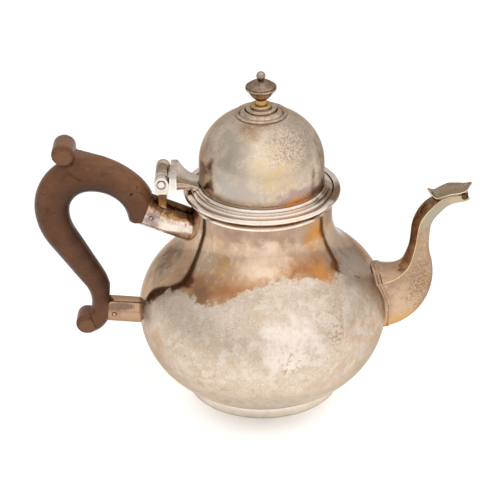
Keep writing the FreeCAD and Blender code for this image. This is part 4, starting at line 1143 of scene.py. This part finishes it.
def handle_section(station):
    """The handle's oval section, with the back of the arch drawn in or out."""
    run = station[2]
    back = 0.0
    if run < ARCH_TOP[2]:
        share = eased(run / ARCH_TOP[2])
        thick = mixed(JOINT_THICKNESS, TOP_THICKNESS, share)
        wide = mixed(JOINT_WIDTH, TOP_WIDTH, share)
        back = flowing(ARCH_BACK, run / ARCH_TOP[2], 1, ARCH_EASE)
    else:
        share = (run - ARCH_TOP[2]) / (HANDLE_RUN - ARCH_TOP[2])
        thick = mixed(TOP_THICKNESS, TAIL_THICKNESS, share ** TAPER_POWER)
        wide = mixed(TOP_WIDTH, TAIL_WIDTH, share)
    outer = 1 + back / thick * 2
    shape = [complex(point.real * (outer if point.real < 0 else 1), point.imag) for point in oval()]
    return section(station, shape, thick / 2, wide / 2)


wood = bmesh.new()
lofted(wood, [handle_section(station) for station in handle_path], True)
crown_centre = ARCH_TOP[0] + cmath.rect(CROWN_CURVE, math.radians(ARCH_TOP[1] + 90))
thumb = crown_centre + cmath.rect(CROWN_CURVE + THUMB_RISE, math.radians(ARCH_TOP[1] - 90 + THUMB_TURN))
cross_rod(wood, THUMB_RADIUS, TOP_WIDTH, thumb, SCROLL_CORNER)
tail = handle_path[-1][0] + TAIL_AHEAD * cmath.rect(1.0, math.radians(handle_path[-1][1]))
cross_rod(wood, TAIL_RADIUS, TAIL_WIDTH, tail, SCROLL_CORNER)
beside_top = next(station for station in handle_path if station[1] > WEB_HEADING)
web_end = beside_top[0] - cmath.rect(TOP_THICKNESS / 2 - WEB_SINK, math.radians(beside_top[1] + 90))


def thumb_web(bm):
    """A wedge of wood that joins the thumb scroll to the arch and narrows to its end."""
    corners = [bm.verts.new(Vector((place.real, WEB_WIDTH / 2, place.imag)) * MM)
               for place in (thumb, ARCH_TOP[0], web_end, thumb + WEB_REACH)]
    side = bmesh.ops.contextual_create(bm, geom=corners)["faces"]
    grown = bmesh.ops.extrude_face_region(bm, geom=side, use_keep_orig=True)["geom"]
    other_side = [item for item in grown if isinstance(item, bmesh.types.BMVert)]
    bmesh.ops.translate(bm, vec=(0, -WEB_WIDTH * MM, 0), verts=other_side)
    bmesh.ops.scale(bm, vec=(1, WEB_TAPER, 1), verts=within(bm, web_end, 0.01))


thumb_web(wood)
peg(wood, LOWER_RADIUS - BOSS_INSET, TAIL_THICKNESS, along_socket(LOWER_JOINT, LOWER_TILT, 0.0))
bmesh.ops.recalc_face_normals(wood, faces=wood.faces)
wood = modified(wood, "REMESH", mode="VOXEL", voxel_size=WOOD_CELL * MM)


def rubbed_smooth(bm, place, reaches, times):
    """Smooths the wood round a place x + zi, most in the middle."""
    for reach in reaches:
        close = within(bm, place, reach)
        for _ in range(times):
            bmesh.ops.smooth_vert(bm, verts=close, factor=0.5,
                                  use_axis_x=True, use_axis_y=True, use_axis_z=True)


rubbed_smooth(wood, 0j, (math.inf,), 3)
rubbed_smooth(wood, web_end, (3, 5, 7), 4)
rubbed_smooth(wood, LOWER_JOINT + complex(0.0, LOWER_RADIUS + 2), (4, 6, 8, 10, 12), 14)


def cut_square(bm, joint, tilt, low, high):
    """Cuts the wood flat at a joint, between two heights."""
    faces = [face for face in bm.faces if low < face.calc_center_median().z / MM < high]
    edges = list({edge for face in faces for edge in face.edges})
    verts = list({vert for face in faces for vert in face.verts})
    heading = into_body(tilt)
    cut = bmesh.ops.bisect_plane(bm, geom=faces + edges + verts, dist=1e-7, clear_outer=True,
                                 plane_co=Vector((joint.real, 0, joint.imag)) * MM,
                                 plane_no=(heading.real, 0, heading.imag))["geom_cut"]
    bmesh.ops.holes_fill(bm, edges=[item for item in cut if isinstance(item, bmesh.types.BMEdge)])


def tenon(bm, joint, radius, tilt, length):
    """A peg of the wood that goes into its socket."""
    peg(bm, radius - SOCKET_WALL - TENON_CLEARANCE, length, along_socket(joint, tilt, length / 2))


def carved_line(bm, corners):
    """The wood with a fine line cut on both sides through places x + zi."""
    tool = bmesh.new()
    steps = [mixed(*pair, step / 4) for pair in zip(corners, corners[1:]) for step in range(4)]
    heading = math.degrees(cmath.phase(corners[-1] - corners[0]))
    for side in (-1, 1):
        rings = []
        for place in steps + corners[-1:]:
            skin = max(side * vert.co.y for vert in within(bm, place, 0.6))
            ring = section((place, heading, 0.0), oval(12), LINE_RADIUS, LINE_RADIUS)
            rings.append([point + Vector((0, side * skin, 0)) for point in ring])
        lofted(tool, rings, True)
    return cut_by(bm, tool)


for corners in CARVED_LINES:
    wood = carved_line(wood, corners)
cut_square(wood, UPPER_JOINT, UPPER_TILT, UPPER_CUT_ABOVE, math.inf)
cut_square(wood, LOWER_JOINT, LOWER_TILT, -math.inf, LOWER_CUT_BELOW)
soften(wood)
tenon(wood, UPPER_JOINT, UPPER_RADIUS, UPPER_TILT, UPPER_TENON)
tenon(wood, LOWER_JOINT, LOWER_RADIUS, LOWER_TILT, LOWER_TENON)
piece("handle_carved", wood, "pot", HARDWOOD, "handle", slot="hardwood")

# Hidden pieces keep their own shape

for node in ("base_disc", "finial_washer", "finial_nut"):
    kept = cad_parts[node]
    kept.data.materials.clear()
    kept.data.materials.append(MOULDING_SILVER)

# Floor, light and camera

floor = bmesh.new()
bmesh.ops.create_grid(floor, x_segments=1, y_segments=1, size=3.0)
floor_sheet = set_down("floor", floor)
floor_sheet.visible_diffuse = False
# A white matt floor that glows with painted light, brighter towards the pot, with a painted shadow dipped
# into the glow in front of the foot
PAINTED_FLOOR_GLOW = 0.045
PAINTED_GLOW_SPREAD = 0.06
PAINTED_SHADOW_MIDDLE = (0, -0.025, 0)
PAINTED_SHADOW_REACH = (0.008, 0.042)
acrylic = Finish("white_floor_with_painted_glow_and_shadow", "#f4f4f4")
away = acrylic.add("ShaderNodeVectorMath", {0: acrylic.place}, "Value", operation="LENGTH")
# Painted light: the floor's glow rises towards the pot
spread = acrylic.add("ShaderNodeMath", {0: away, 1: PAINTED_GLOW_SPREAD}, operation="ADD")
painted_glow = acrylic.add("ShaderNodeMath", {0: PAINTED_FLOOR_GLOW, 1: spread}, operation="DIVIDE")
# Painted shadow: the glow falls away towards a point just in front of the foot
from_painted_shadow = acrylic.add("ShaderNodeVectorMath", {0: acrylic.place, 1: PAINTED_SHADOW_MIDDLE}, "Value",
                         operation="DISTANCE")
outside_painted_shadow = acrylic.add("ShaderNodeMapRange", {"Value": from_painted_shadow, "From Min": PAINTED_SHADOW_REACH[0],
                                                   "From Max": PAINTED_SHADOW_REACH[1]})
painted_glow = acrylic.add("ShaderNodeMath", {0: painted_glow, 1: outside_painted_shadow}, operation="MULTIPLY")
acrylic.feed(acrylic.shader.inputs["Emission Strength"], painted_glow)
acrylic.feed(acrylic.shader.inputs["Emission Color"], linear("#ffffff"))
floor_sheet.data.materials.append(acrylic.done(0.9))

# A studio whose light is broad and soft, brightest above the camera
BRIGHT_SIDE = Vector((0.3, -0.6, 0.75))
world = bpy.data.worlds.new("studio")
scene.world = world
world.use_nodes = True
studio = Nodes(world.node_tree)
ahead = studio.add("ShaderNodeTexCoord", {}, "Generated")
facing = studio.add("ShaderNodeVectorMath", {0: ahead, 1: BRIGHT_SIDE.normalized()}, "Value",
                    operation="DOT_PRODUCT")
glow = studio.add("ShaderNodeMapRange", {"Value": facing, "From Min": 0.1, "From Max": 1.0,
                                         "To Min": 0.76, "To Max": 1.34}, interpolation_type="SMOOTHSTEP")
level = studio.add("ShaderNodeSeparateXYZ", {"Vector": ahead}, "Z")
below = studio.add("ShaderNodeMapRange", {"Value": level, "From Min": -0.3, "From Max": 0.0,
                                          "To Min": 0.15})
background = studio.tree.nodes["Background"]
studio.feed(background.inputs["Color"], linear("#f6f5f4"))
strength = studio.add("ShaderNodeMath", {0: glow, 1: below}, operation="MULTIPLY")
studio.feed(background.inputs["Strength"], strength)

# A square panel overhead that lights what is matt and stays out of reflections
PANEL_WIDTH = 1.6
PANEL_RADIANCE = 0.6
POT_MIDDLE = Vector((0, 0, 0.07))
panel = bpy.data.lights.new("overhead", "AREA")
panel.size = PANEL_WIDTH
panel.energy = PANEL_RADIANCE * math.pi * PANEL_WIDTH ** 2
overhead = bpy.data.objects.new("overhead", panel)
overhead.location = (0.1, 0.0, 1.6)
overhead.rotation_euler = (POT_MIDDLE - overhead.location).to_track_quat("-Z", "Y").to_euler()
overhead.visible_glossy = False
scene.collection.objects.link(overhead)

CAMERA_AIM = Vector((0, 0, 0.08))
CAMERA_ROLL = math.radians(-0.49)
scene.view_settings.view_transform = "Standard"
camera = bpy.data.cameras.new("camera")
camera.lens = 130.36
camera.sensor_width = 36.0
camera.shift_x = -0.0244
camera.shift_y = -0.0353
eye = bpy.data.objects.new("camera", camera)
eye.location = (0.0, -0.7533, 0.4737)
looking = (CAMERA_AIM - eye.location).to_track_quat("-Z", "Y").to_matrix().to_4x4()
eye.rotation_euler = (looking @ Matrix.Rotation(CAMERA_ROLL, 4, "Z")).to_euler()
scene.collection.objects.link(eye)
scene.camera = eye
